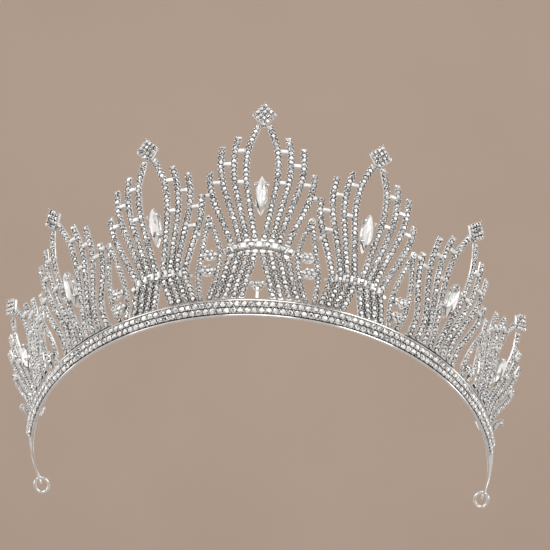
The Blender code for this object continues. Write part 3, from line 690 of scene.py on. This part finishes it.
# Every stone's ramp paints its facet reflections from near black to white; the brighter rhinestone is a
# lighter-painted copy.
WHITE = (1.0, 1.0, 1.0)
RHINESTONE = painted_facet_material(
    "rhinestone",
    ((0.37, (0.04, 0.042, 0.042)), (0.445, (0.38, 0.385, 0.385)), (0.515, (0.9, 0.905, 0.91)), (0.59, WHITE)),
    normal_scale=5.0, roughness=0.12, metallic=0.5)
BRIGHTER_PAINTED_STONE = painted_facet_material(
    "rhinestone_brighter_painted",
    ((0.34, (0.05, 0.052, 0.052)), (0.41, (0.42, 0.425, 0.425)), (0.475, (0.92, 0.925, 0.93)), (0.55, WHITE)),
    normal_scale=5.0, roughness=0.12, metallic=0.45)
NAVETTE_GLASS = painted_facet_material(
    "navette_crystal",
    ((0.36, (0.08, 0.075, 0.07)), (0.43, (0.42, 0.41, 0.40)), (0.50, (0.90, 0.89, 0.88)), (0.60, WHITE)),
    normal_scale=2.0, roughness=0.08, metallic=0.3)
BAGUETTE_GLASS = painted_facet_material(
    "baguette_crystal",
    ((0.3, (0.7, 0.7, 0.7)), (0.45, (0.95, 0.95, 0.95)), (0.55, WHITE)),
    normal_scale=1.6, roughness=0.1, metallic=0.15)


# ---------------------------------------------------------------- headband

def hand_name(side):
    """The side's name in the names of pieces."""
    return "right" if side > 0 else "left"


def side_name(base, side):
    """Name of a piece: a piece in the middle has no side in its name."""
    return base if side == 0 else f"{base}_{hand_name(side)}"


def strip_half_height(s):
    """Half height of the plain strip: full along the stones, drawn in towards the eye."""
    share = np.clip((np.abs(s) - DECORATED_HALF) / (NECK_END - DECORATED_HALF), 0, 1)
    return BAND_HEIGHT / 2 + (NECK_HALF_HEIGHT - BAND_HEIGHT / 2) * share


def headband_strip():
    """Polished strip with eased edges and a round eye at each end."""
    drawing = Drawing()
    stations = np.linspace(-NECK_END, NECK_END, STRIP_STATIONS)
    half = strip_half_height(stations)
    ease, thick = STRIP_EASE, STRIP_THICKNESS
    corners = ((1, ease, 0.0), (1, 0.0, ease), (1, 0.0, thick - ease), (1, ease, thick),
               (-1, ease, thick), (-1, 0.0, thick - ease), (-1, 0.0, ease), (-1, ease, 0.0))
    rows = []
    for hand, drawn_in, out in corners:
        up = EYE_HEIGHT + hand * (half - drawn_in)
        rows.append(np.column_stack([stations, up, np.full(len(stations), out)]))
    loft(drawing, np.stack(rows, axis=1))
    for hand in (1, -1):
        eye_pad(drawing, hand * EYE_AT)
    made = make_piece("headband_strip_polished", drawing, wrap_band, POLISHED, smooth=True)
    finish_piece(made, "tiara", "polished_silver", "headband_strip")


def eye_pad(drawing, s):
    """Round eye: a flat washer with eased edges."""
    ease = EYE_PAD_EASE
    back, front = EYE_PAD_DEPTH
    profile = ((EYE_HOLE_RADIUS, back + ease), (EYE_HOLE_RADIUS + ease, back), (EYE_PAD_RADIUS - ease, back),
               (EYE_PAD_RADIUS, back + ease), (EYE_PAD_RADIUS, front - ease), (EYE_PAD_RADIUS - ease, front),
               (EYE_HOLE_RADIUS + ease, front), (EYE_HOLE_RADIUS, front - ease))
    angles = full_turn(EYE_PAD_SIDES)
    rings = [np.column_stack([s + radius * np.cos(angles), EYE_HEIGHT + radius * np.sin(angles),
                              np.full(EYE_PAD_SIDES, level)]) for radius, level in profile]
    loft(drawing, rings, closed=True, flipped=True)


def band_rail(name, node, reach):
    """Rounded rail along the decorated part of the headband."""
    low, high, back, front = reach
    drawing = Drawing()
    stations = np.linspace(-DECORATED_HALF, DECORATED_HALF, RAIL_STATIONS)
    line = np.column_stack([stations, np.full(len(stations), (low + high) / 2)])
    half = (high - low) / 2
    ease = min(RAIL_EASE, half * RAIL_EASE_SHARE)
    section = ((half, back), (half, front - ease), (half - ease, front), (-half + ease, front),
               (-half, front - ease), (-half, back))
    sweep(drawing, line, section)
    made = make_piece(name, drawing, wrap_band, POLISHED, smooth=True)
    finish_piece(made, "tiara", "polished_silver", node)


def stone_row(name, node, height, phase, dice):
    """A row of round stones in cups, with prong beads between them."""
    stones, cups = Drawing(), Drawing()
    bead_rise, bead_level, bead_radius = ROW_BEAD
    count = round(2 * (DECORATED_HALF - ROW_END_CLEAR) / BAND_STONE_PITCH)
    for index in range(count + 1):
        s = -DECORATED_HALF + ROW_END_CLEAR + BAND_STONE_PITCH * (index + phase)
        if s > DECORATED_HALF - ROW_LAST_CLEAR:
            break
        stone(stones, s, height, BAND_STONE_LEVEL, BAND_STONE_RADIUS, dice)
        lathe(cups, s, height, ROW_CUP, ROW_CUP_SIDES)
        for rise in (bead_rise, -bead_rise):
            bead(cups, s + BAND_STONE_PITCH / 2, height + rise, bead_level, bead_radius)
    set_pieces(name, "cups", node, cups, stones, wrap_band, BRIGHTER_PAINTED_STONE)


def finish_piece(piece, body, slot, *nodes):
    """Tie a piece to its body and to the nodes that it stands for; its material slot is not used."""
    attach(piece, body)
    if nodes:
        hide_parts(*nodes)


def set_pieces(name, kind, node, metal, stones, bend, stone_finish, mirrored=False, finish=SHADED_SETTING):
    """Metal that stands for a node, and the stones set in it."""
    metal_piece = make_piece(f"{name}_{kind}", metal, bend, finish, mirrored, smooth=True)
    finish_piece(metal_piece, "tiara", "polished_silver", node)
    stone_piece = make_piece(f"{name}_stones", stones, bend, stone_finish, mirrored)
    finish_piece(stone_piece, "tiara", "set_stones")


# ---------------------------------------------------------------- fans

def fan_places(fan, out, up):
    """Flat places of points of the fan pattern, from the fan's own middle line."""
    _, _, waist, size, lean = fan
    out = np.asarray(out, float)
    up = np.asarray(up, float)
    x = (out * math.cos(lean) + up * math.sin(lean)) * size
    y = waist + (up * math.cos(lean) - out * math.sin(lean)) * size
    return np.stack([x, y], axis=-1)


def fan_outline(fan, shape, centre):
    """Flat places of an outline drawn round a point on the fan's middle line."""
    return fan_places(fan, shape[:, 0], centre + shape[:, 1])


def strand_line(fan, knots, hand, spread):
    """Centre line of a strand from its foot on the headband to its tip."""
    signed = [(hand * x, y) for x, y in knots]
    heights = np.linspace(knots[0][1], knots[-1][1], CURVE_SAMPLES)
    share = np.clip((SPREAD_FROM - heights) / SPREAD_FROM, 0, 1)
    line = fan_places(fan, smooth_values(signed, heights) * (1 + spread * share ** 2), heights)
    above = line[:, 1] >= FOOT
    return resample(line[above], STRAND_STEP)


def collar_centre(out):
    """Height of the collar's middle line above the waist."""
    return COLLAR_LEVEL - COLLAR_RISE * (np.asarray(out, float) / COLLAR_HALF_LENGTH) ** 2


def under_collar(fan, point):
    """Whether a strand's stone at this flat point would sit under the collar."""
    _, _, waist, size, _ = fan
    out, up = point[0] / size, (point[1] - waist) / size
    return abs(out) < COLLAR_HALF_LENGTH and abs(up - collar_centre(out)) < COLLAR_SKIP


def set_strand(metal, stones, line, settings, half, skip, dice):
    """A bar along a line with a row of stones on it and prong beads that stand out at its edges."""
    radius, pitch, level = settings
    edge = half - BEAD_INSET
    back, floor_drop, edge_drop, wall = STRAND_BAR
    sweep(metal, line, channel_section(edge, back, level - floor_drop, level - edge_drop, wall), FOOT)
    places = resample(line, pitch, radius + STRAND_END_CLEAR)
    for index, point in enumerate(places):
        if not skip(point):
            stone(stones, point[0], point[1], level, radius, dice)
        if index + 1 < len(places):
            gap = (point + places[index + 1]) / 2
            along = places[index + 1] - point
            across = np.array([along[1], -along[0]]) / np.linalg.norm(along)
            if not skip(gap):
                for hand in (1, -1):
                    spot = gap + across * hand * (half - BEAD_RADIUS)
                    bead(metal, spot[0], spot[1], level + BEAD_RISE, BEAD_RADIUS)


def baguette(metal, stones, fan, corners):
    """Oblong stone in a thin bezel."""
    flat = fan_places(fan, [corner[0] for corner in corners], [corner[1] for corner in corners])
    middle = flat.mean(axis=0)
    plate(metal, flat, *BAGUETTE_BEZEL)
    step_stone(stones, middle + (flat - middle) * BAGUETTE_SHARE, *BAGUETTE_LEVELS)


def step_stone(stones, outline, girdle, table):
    """Stone with straight sides and a stepped crown."""
    outline = np.asarray(outline, float)
    middle = outline.mean(axis=0)
    rise = table - girdle
    levels = ((1.0, girdle - STEP_EDGE), (1.0, girdle), (STEP_SHARE, girdle + STEP_AT * rise),
              (STEP_TABLE_SHARE, table))
    loft(stones, [at_level(middle + (outline - middle) * share, level) for share, level in levels])


def baguette_corners(strand, height, hand):
    """Corners of an oblong stone bridging a strand and its outer neighbour, counter-clockwise."""
    near = float(smooth_values(STRANDS[strand], height)) + BAGUETTE_CLEAR
    far = float(smooth_values(STRANDS[strand + 1], height)) - BAGUETTE_CLEAR
    return signed_corners(near, far, height, hand)


def signed_corners(near, far, height, hand):
    """Corners of an oblong stone on one half of a fan, counter-clockwise."""
    low, high = height - BAGUETTE_HALF_HEIGHT, height + BAGUETTE_HALF_HEIGHT
    corners = ((near, low), (far, low), (far, high), (near, high))
    corners = [(hand * out, up) for out, up in corners]
    return corners if hand > 0 else corners[::-1]


def collar_line(fan):
    """Flat middle line of the collar."""
    outs = np.linspace(-COLLAR_HALF_LENGTH, COLLAR_HALF_LENGTH, COLLAR_STEPS)
    return fan_places(fan, outs, collar_centre(outs))


def collar(metal, stones, squares, fan, dice):
    """Arched bar across the centre fan's waist, with square and round stones by turns."""
    sweep(metal, collar_line(fan), channel_section(*COLLAR_SECTION))
    last = COLLAR_HALF_LENGTH - COLLAR_END_CLEAR
    places = np.linspace(-last, last, COLLAR_STONES)
    bead_rise, bead_level, bead_radius = COLLAR_BEAD
    for index, out in enumerate(places):
        x, y = fan_places(fan, out, collar_centre(out))
        if index % 2 == 0 and 0 < index < len(places) - 1:
            slope = -2 * COLLAR_RISE * out / COLLAR_HALF_LENGTH ** 2
            along = np.array([1.0, slope]) / math.hypot(1.0, slope)
            across = np.array([-along[1], along[0]])
            corners = [np.array([x, y]) + COLLAR_STONE_HALF * (a * along + b * across)
                       for a, b in SQUARE]
            step_stone(squares, corners, *COLLAR_SQUARE_LEVELS)
        else:
            stone(stones, x, y, COLLAR_STONE_LEVEL, COLLAR_STONE_HALF, dice)
        if index + 1 < len(places):
            middle = (out + places[index + 1]) / 2
            gap = fan_places(fan, middle, collar_centre(middle))
            for rise in (bead_rise, -bead_rise):
                bead(metal, gap[0], gap[1] + rise, bead_level, bead_radius)


def seam_stones(metal, bars, fan):
    """Thin arched bar behind the strands of the waist, with a small oblong stone on each seam."""
    sweep(metal, collar_line(fan), channel_section(*SEAM_BAR_SECTION))
    waists = [float(smooth_values(knots, 0.0)) for knots in STRANDS]
    seams = [(near + far) / 2 for near, far in zip(waists, waists[1:])]
    for out in [0.0] + seams + [-seam for seam in seams]:
        middle = float(collar_centre(out))
        half_width, half_height = SEAM_STONE_HALF
        flat = fan_places(fan, [out + half_width * across for across, _ in SQUARE],
                          [middle + half_height * along for _, along in SQUARE])
        step_stone(bars, flat, *SEAM_STONE_LEVELS)


def foot_bar(metal, lines):
    """Thin bar along the rail, under a fan that starts at the headband."""
    first = min(line[0][0] for line in lines) - FOOT_BAR_OVERHANG
    last = max(line[0][0] for line in lines) + FOOT_BAR_OVERHANG
    half = FOOT_BAR_HEIGHT / 2
    line = np.column_stack([np.linspace(first, last, FOOT_BAR_STEPS), np.full(FOOT_BAR_STEPS, FOOT + half)])
    sweep(metal, line, channel_section(half, *FOOT_BAR_DEPTHS))


def fan_piece(fan, side, dice):
    """A fan: its frame, the round stones of its strands and its oblong stones."""
    label = fan[0]
    name = side_name(f"{label}_fan", side)
    metal, stones, bars = Drawing(), Drawing(), Drawing()
    low = fan[2] < LOW_WAIST
    spread = FOOT_SPREAD if low else 0.0
    lines = [strand_line(fan, knots, hand, spread) for knots in STRANDS for hand in (1, -1)]
    if label == "end":
        lines.append(strand_line(fan, END_STRAND, 1, 0.0))
    if low:
        foot_bar(metal, lines)
        skip = lambda point: point[1] < FOOT + FOOT_BAR_HEIGHT
    elif label == "centre":
        collar(metal, stones, bars, fan, dice)
        skip = lambda point: under_collar(fan, point)
    else:
        seam_stones(metal, bars, fan)
        skip = lambda point: False
    for line in lines:
        set_strand(metal, stones, line, STRAND_STONE, STRAND_HALF_WIDTH, skip, dice)
    bridges = [(hand, strand, height) for hand in (1, -1) for strand, height in BAGUETTES]
    bridges += EXTRA_BAGUETTES.get(label, ())
    for hand, strand, height in bridges:
        baguette(metal, bars, fan, baguette_corners(strand, height, hand))
    for hand, height, reach in STUBS.get(label, ()):
        near = float(smooth_values(STRANDS[-1], height))
        baguette(metal, bars, fan, signed_corners(near + STUB_START, near + reach, height, hand))
    bend = bend_fan(fan, side or 1)
    mirrored = side < 0
    set_pieces(name, "frame", name, metal, stones, bend, RHINESTONE, mirrored)
    bar_piece = make_piece(f"{name}_baguettes", bars, bend, BAGUETTE_GLASS, mirrored)
    finish_piece(bar_piece, "tiara", "set_stones")


def finial_piece(fan, side, dice):
    """Pave kite: a thick plate with sixteen stones that reach past its edge."""
    name = side_name(f"{fan[0]}_finial", side)
    metal, stones = Drawing(), Drawing()
    shape = FINIAL_PLATE_SHARE * np.array(FINIAL[::-1])
    plate(metal, fan_outline(fan, shape, FINIAL_CENTRE), *FINIAL_PLATE)
    half_step = FINIAL_PITCH / math.sqrt(2)
    for row in range(FINIAL_GRID):
        for column in range(FINIAL_GRID):
            out = (column - row) * half_step
            up = FINIAL_CENTRE + FINIAL_GRID_RISE + (column + row - FINIAL_GRID + 1) * half_step
            x, y = fan_places(fan, out, up)
            stone(stones, x, y, FINIAL_STONE_LEVEL, FINIAL_STONE, dice)
            for rise in (half_step, -half_step):
                x, y = fan_places(fan, out, up + rise)
                bead(metal, x, y, *FINIAL_BEAD)
    set_pieces(name, "plate", name, metal, stones, bend_fan(fan, side or 1), RHINESTONE, side < 0)


def lens_outline(half_length, half_width, points_a_side):
    """Pointed oval of two arcs, upright, counter-clockwise from the lower tip."""
    radius = (half_length ** 2 + half_width ** 2) / (2 * half_width)
    reach = math.asin(half_length / radius)
    outline = []
    for side in (1, -1):
        for index in range(points_a_side):
            turn = -reach + 2 * reach * index / points_a_side
            across = radius * math.cos(turn) - (radius - half_width)
            outline.append((side * across, side * radius * math.sin(turn)))
    return np.array(outline)


def navette_piece(fan, side):
    """Pointed oval crystal: long table, kite facets and break facets round it."""
    name = side_name(f"{fan[0]}_navette", side)
    drawing = Drawing()
    outline = lens_outline(NAVETTE_HALF_LENGTH - NAVETTE_INSET, NAVETTE_HALF_WIDTH - NAVETTE_INSET,
                           NAVETTE_POINTS)
    count = len(outline)
    between = (outline + np.roll(outline, -1, axis=0)) / 2
    levels = ((outline * NAVETTE_BACK[:2], NAVETTE_BACK[2]), (outline, NAVETTE_GIRDLE[0]),
              (outline, NAVETTE_GIRDLE[1]), (between * NAVETTE_BREAKS[:2], NAVETTE_BREAKS[2]),
              (outline * NAVETTE_TABLE[:2], NAVETTE_TABLE[2]))
    points = [at_level(fan_outline(fan, shape, NAVETTE_CENTRE), level) for shape, level in levels]
    faces = [tuple(range(count))[::-1]] + ring_faces(0, count, count) + ring_faces(count, 2 * count, count)
    faces += crown_faces(2 * count, count, peak=5 * count)
    peak_out, peak_up, peak_level = NAVETTE_PEAK
    peak = fan_places(fan, [peak_out], [NAVETTE_CENTRE + peak_up])
    points.append(at_level(peak, peak_level))
    drawing.add(np.concatenate(points), faces)
    made = make_piece(f"{name}_cut", drawing, bend_fan(fan, side or 1), NAVETTE_GLASS, side < 0)
    finish_piece(made, "tiara", "crystal", name)


def tube(drawing, path, radii, sides):
    """A round bar through points in space, closed at both ends."""
    path = np.asarray(path, float)
    along = np.gradient(path, axis=0)
    along /= np.linalg.norm(along, axis=1, keepdims=True)
    angles = full_turn(sides)
    rings = []
    for point, direction, radius in zip(path, along, radii):
        first = np.cross(direction, (0.0, 1.0, 0.0))
        first /= np.linalg.norm(first)
        second = np.cross(direction, first)
        rings.append(point + radius * (np.outer(np.cos(angles), first) + np.outer(np.sin(angles), second)))
    loft(drawing, rings)


def setting_piece(fan, side):
    """Boat-shaped gallery with four claws that bend over the crystal."""
    name = side_name(f"{fan[0]}_navette_setting", side)
    drawing = Drawing()
    for longer, wider, back, front, bevel in GALLERY:
        rim = lens_outline(NAVETTE_HALF_LENGTH + longer, NAVETTE_HALF_WIDTH + wider, GALLERY_POINTS)
        plate(drawing, fan_outline(fan, rim, NAVETTE_CENTRE), back, front, bevel)
    outs, levels, radii = zip(*PRONG)
    for hand in (1, -1):
        for rise in (1, -1):
            up = NAVETTE_CENTRE + rise * PRONG_AT
            flat = fan_places(fan, [hand * out for out in outs], [up] * len(outs))
            tube(drawing, np.column_stack([flat, levels]), radii, PRONG_SIDES)
    made = make_piece(f"{name}_claws", drawing, bend_fan(fan, side or 1), POLISHED, side < 0, smooth=True)
    finish_piece(made, "tiara", "polished_silver", name)


# ---------------------------------------------------------------- loops, clusters and trefoil

def loop_middle(loop, height):
    """Where the middle line of a loop lies at a height."""
    return float(smooth_values(loop[2], height))


def loop_half_width(loop, height):
    """Half width between the legs: a point at the head, drawn in at the foot."""
    foot, head, widest = loop[2][0][1], loop[2][-1][1], loop[3]
    if height > widest:
        return LOOP_HALF_WIDTH * math.cos(math.pi / 2 * (height - widest) / (head - widest))
    return LOOP_HALF_WIDTH * math.cos(LOOP_FOOT_ANGLE * (widest - height) / (widest - foot))


def loop_piece(loop, side, dice):
    """Two stone-set legs that meet at a single stone in a cup."""
    label, foot_x, middle_line, _, _ = loop
    (_, foot_y), (_, head_y) = middle_line[0], middle_line[-1]
    name = side_name(f"{label}_loop", side)
    metal, stones = Drawing(), Drawing()
    head_x = loop_middle(loop, head_y)
    heights = np.linspace(foot_y, head_y, LOOP_STEPS)
    skip = lambda point: point[1] > head_y - LOOP_HEAD_CLEAR
    for hand in (1, -1):
        line = [(loop_middle(loop, h) + hand * loop_half_width(loop, h), h) for h in heights]
        set_strand(metal, stones, line, LOOP_STONE, LOOP_WIRE_HALF, skip, dice)
    lathe(metal, head_x, head_y, LOOP_HEAD_CUP, CUP_SIDES)
    stone(stones, head_x, head_y, LOOP_HEAD_LEVEL, LOOP_HEAD_STONE, dice)
    set_pieces(name, "frame", name, metal, stones, bend_round(side * foot_x), RHINESTONE, side < 0)


def cluster_pieces(loop, side, dice):
    """Lens-shaped plates of nine stones between the legs of a loop."""
    label, foot_x, _, _, heights = loop
    bend = bend_round(side * foot_x)
    for number, height in enumerate(heights):
        node = side_name(f"{label}_cluster_{'upper' if number == 0 else 'lower'}", side)
        metal, stones = Drawing(), Drawing()
        middle = np.array([loop_middle(loop, height), height])
        reach = loop_half_width(loop, height) - LOOP_WIRE_HALF + CLUSTER_OVERLAP
        turns = np.linspace(0, 2 * np.pi, CLUSTER_POINTS, endpoint=False)
        rim = np.column_stack([reach * np.cos(turns), min(CLUSTER_HALF_HEIGHT, reach) * np.sin(turns)])
        plate(metal, rim * CLUSTER_PLATE_SHARE + middle, *CLUSTER_PLATE)
        for x, y, radius in CLUSTER_STONES:
            stone(stones, middle[0] + x, middle[1] + y, CLUSTER_STONE_LEVEL, radius, dice)
        set_pieces(node, "plate", node, metal, stones, bend, BRIGHTER_PAINTED_STONE, side < 0)


def trefoil_piece(dice):
    """A fan-shaped group of stones in cups on a short stem, between the centre fan's legs."""
    metal, stones = Drawing(), Drawing()
    stem = np.linspace(FOOT, TREFOIL_STEM_TOP, TREFOIL_STEM_STEPS)
    sweep(metal, np.column_stack([np.zeros(TREFOIL_STEM_STEPS), stem]), TREFOIL_STEM_SECTION)
    for hand in (1, -1):
        sweep(metal, [(hand * x, y) for x, y in TREFOIL_ARM], TREFOIL_ARM_SECTION)
    for x, y, radius in TREFOIL_STONES:
        lathe(metal, x, y, [(radius + wider, level) for wider, level in TREFOIL_CUP], CUP_SIDES)
        stone(stones, x, y, TREFOIL_STONE_LEVEL, radius, dice)
    set_pieces("trefoil", "frame", "trefoil", metal, stones, bend_round(0.0), RHINESTONE, finish=POLISHED)


# ---------------------------------------------------------------- wire rings

def wire_loop(name, points, radius):
    """A closed round wire through points in world space (m)."""
    points = np.asarray(points, float)
    along = np.roll(points, -1, axis=0) - np.roll(points, 1, axis=0)
    along /= np.linalg.norm(along, axis=1, keepdims=True)
    plane = np.cross(points[1] - points[0], points[len(points) // 3] - points[0])
    plane /= np.linalg.norm(plane)
    angles = full_turn(WIRE_SIDES)
    rings = []
    for point, direction in zip(points, along):
        first = np.cross(plane, direction)
        rings.append(point + radius * (np.outer(np.cos(angles), first) + np.outer(np.sin(angles), plane)))
    drawing = Drawing()
    loft(drawing, rings, closed=True)
    return make_piece(name, drawing, lambda p: p, POLISHED, smooth=True)


def end_ring_piece(side):
    """Oval wire ring through the eye at the end of the headband."""
    node = side_name("end_ring", side)
    s = np.array([side * EYE_AT])
    height = np.array([EYE_HEIGHT])
    eye = wrap(s, height, np.array([STRIP_THICKNESS / 2]))[0]
    outward = wrap(s, height, np.array([1.0]))[0] - wrap(s, height, np.array([0.0]))[0]
    outward /= np.linalg.norm(outward)
    turn = heading(EYE_AT)
    back = Vector((side * math.cos(turn), math.sin(turn), 0.0))
    lie = np.array(Matrix.Rotation(-RING_DROOP, 3, Vector(outward * side)) @ back)
    angles = full_turn(RING_STEPS)
    points = (eye + np.outer(RING_HALF_LENGTH * MM * (1 - np.cos(angles)), lie)
              + np.outer(RING_HALF_WIDTH * MM * np.sin(angles), outward))
    made = wire_loop(f"{node}_wire", points, RING_WIRE * MM)
    finish_piece(made, f"{hand_name(side)}_ring", "polished_silver", node)


def pin_eye_piece(side):
    """Small wire eye on the inner face."""
    node = side_name("pin_eye", side)
    low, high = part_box(node)
    centre = (low + high) / 2
    tilt = Matrix.Rotation(math.radians(90) - FLARE, 4, "X")
    turn = Matrix.Rotation(side * heading(PIN_EYE_AT), 4, "Z") @ tilt
    radius = PIN_EYE_RADIUS * MM
    angles = full_turn(PIN_EYE_STEPS)
    points = [centre + turn @ Vector((radius * math.cos(a), radius * math.sin(a), 0.0)) for a in angles]
    made = wire_loop(f"{node}_wire", points, PIN_EYE_WIRE * MM)
    finish_piece(made, "tiara", "polished_silver", node)


# ---------------------------------------------------------------- stage

def paper(name, corners, dark, light):
    """A plain sheet of matt paper."""
    mesh = bpy.data.meshes.new(name)
    mesh.from_pydata(corners, [], [(0, 1, 2, 3)])
    made, nodes, links, shader = new_material(f"{name}_paper")
    where = nodes.new("ShaderNodeTexCoord").outputs["Object"]
    tone = ramp_node(nodes, ((PAPER_STOPS[0], dark), (PAPER_STOPS[1], light)))
    links.new(noise_node(nodes, links, where, *PAPER_NOISE), tone.inputs["Fac"])
    links.new(tone.outputs["Color"], shader.inputs["Base Color"])
    set_inputs(shader, {"Roughness": PAPER_ROUGHNESS, "Specular IOR Level": PAPER_SHINE})
    mesh.materials.append(made)
    piece = bpy.data.objects.new(name, mesh)
    bpy.context.scene.collection.objects.link(piece)


def stage():
    """Pale floor far below the tiara, and a taupe sheet behind it, square to the camera."""
    corners = [(x * FLOOR_HALF, y * FLOOR_HALF, FLOOR_LEVEL) for x, y in SQUARE]
    paper("floor", corners, FLOOR_DARK, FLOOR_LIGHT)
    turn = Euler([math.radians(angle) for angle in CAMERA_TURN]).to_matrix()
    middle = Vector(CAMERA_PLACE) + turn @ Vector((0.0, 0.0, -SHEET_DISTANCE))
    corners = [middle + turn @ Vector((x * SHEET_HALF, y * SHEET_HALF, 0.0)) for x, y in SQUARE]
    paper("backdrop", corners, SHEET_DARK, SHEET_LIGHT)


def world():
    """Plain neutral surroundings."""
    made = bpy.data.worlds.new("studio")
    made.use_nodes = True
    shade = made.node_tree.nodes["Background"]
    set_inputs(shade, {"Color": WORLD_TONE, "Strength": 1.0})
    bpy.context.scene.world = made


def lights():
    """Soft boxes round the tiara, all turned towards it."""
    for name, azimuth, elevation, distance, size, power in SOFT_BOXES:
        data = bpy.data.lights.new(name, "AREA")
        data.shape = "SQUARE"
        data.size = size
        data.energy = power
        data.color = LAMP_TONE
        lamp = bpy.data.objects.new(name, data)
        turn, rise = math.radians(azimuth), math.radians(elevation)
        away = Vector((math.sin(turn) * math.cos(rise), -math.cos(turn) * math.cos(rise), math.sin(rise)))
        lamp.location = away * distance
        lamp.rotation_euler = away.to_track_quat("Z", "Y").to_euler()
        lamp.visible_camera = False
        bpy.context.scene.collection.objects.link(lamp)


def camera():
    """The camera in front of the tiara, looking up at it."""
    data = bpy.data.cameras.new("camera")
    data.lens = CAMERA_LENS
    data.sensor_width = CAMERA_SENSOR
    data.clip_start, data.clip_end = CAMERA_CLIP
    made = bpy.data.objects.new("camera", data)
    made.location = CAMERA_PLACE
    made.rotation_euler = [math.radians(angle) for angle in CAMERA_TURN]
    bpy.context.scene.collection.objects.link(made)
    bpy.context.scene.camera = made


# ---------------------------------------------------------------- assembly

def main():
    """Build the stage and every piece of the tiara."""
    dice = np.random.default_rng(SEED)
    camera()
    world()
    lights()
    stage()
    headband_strip()
    band_rail("bottom_rail_polished", "bottom_rail", BOTTOM_RAIL)
    band_rail("top_rail_polished", "top_rail", TOP_RAIL)
    stone_row("lower_row", "stone_row_lower", LOWER_ROW_HEIGHT, 0.5, dice)
    stone_row("upper_row", "stone_row_upper", UPPER_ROW_HEIGHT, 0.0, dice)
    trefoil_piece(dice)
    for fan in FANS:
        for side in ((0,) if fan[1] == 0.0 else (1, -1)):
            fan_piece(fan, side, dice)
            finial_piece(fan, side, dice)
            setting_piece(fan, side)
            navette_piece(fan, side)
    for loop in LOOPS:
        for side in (1, -1):
            loop_piece(loop, side, dice)
            cluster_pieces(loop, side, dice)
    for side in (1, -1):
        pin_eye_piece(side)
        end_ring_piece(side)
    bpy.context.scene.view_settings.view_transform = "Standard"


main()
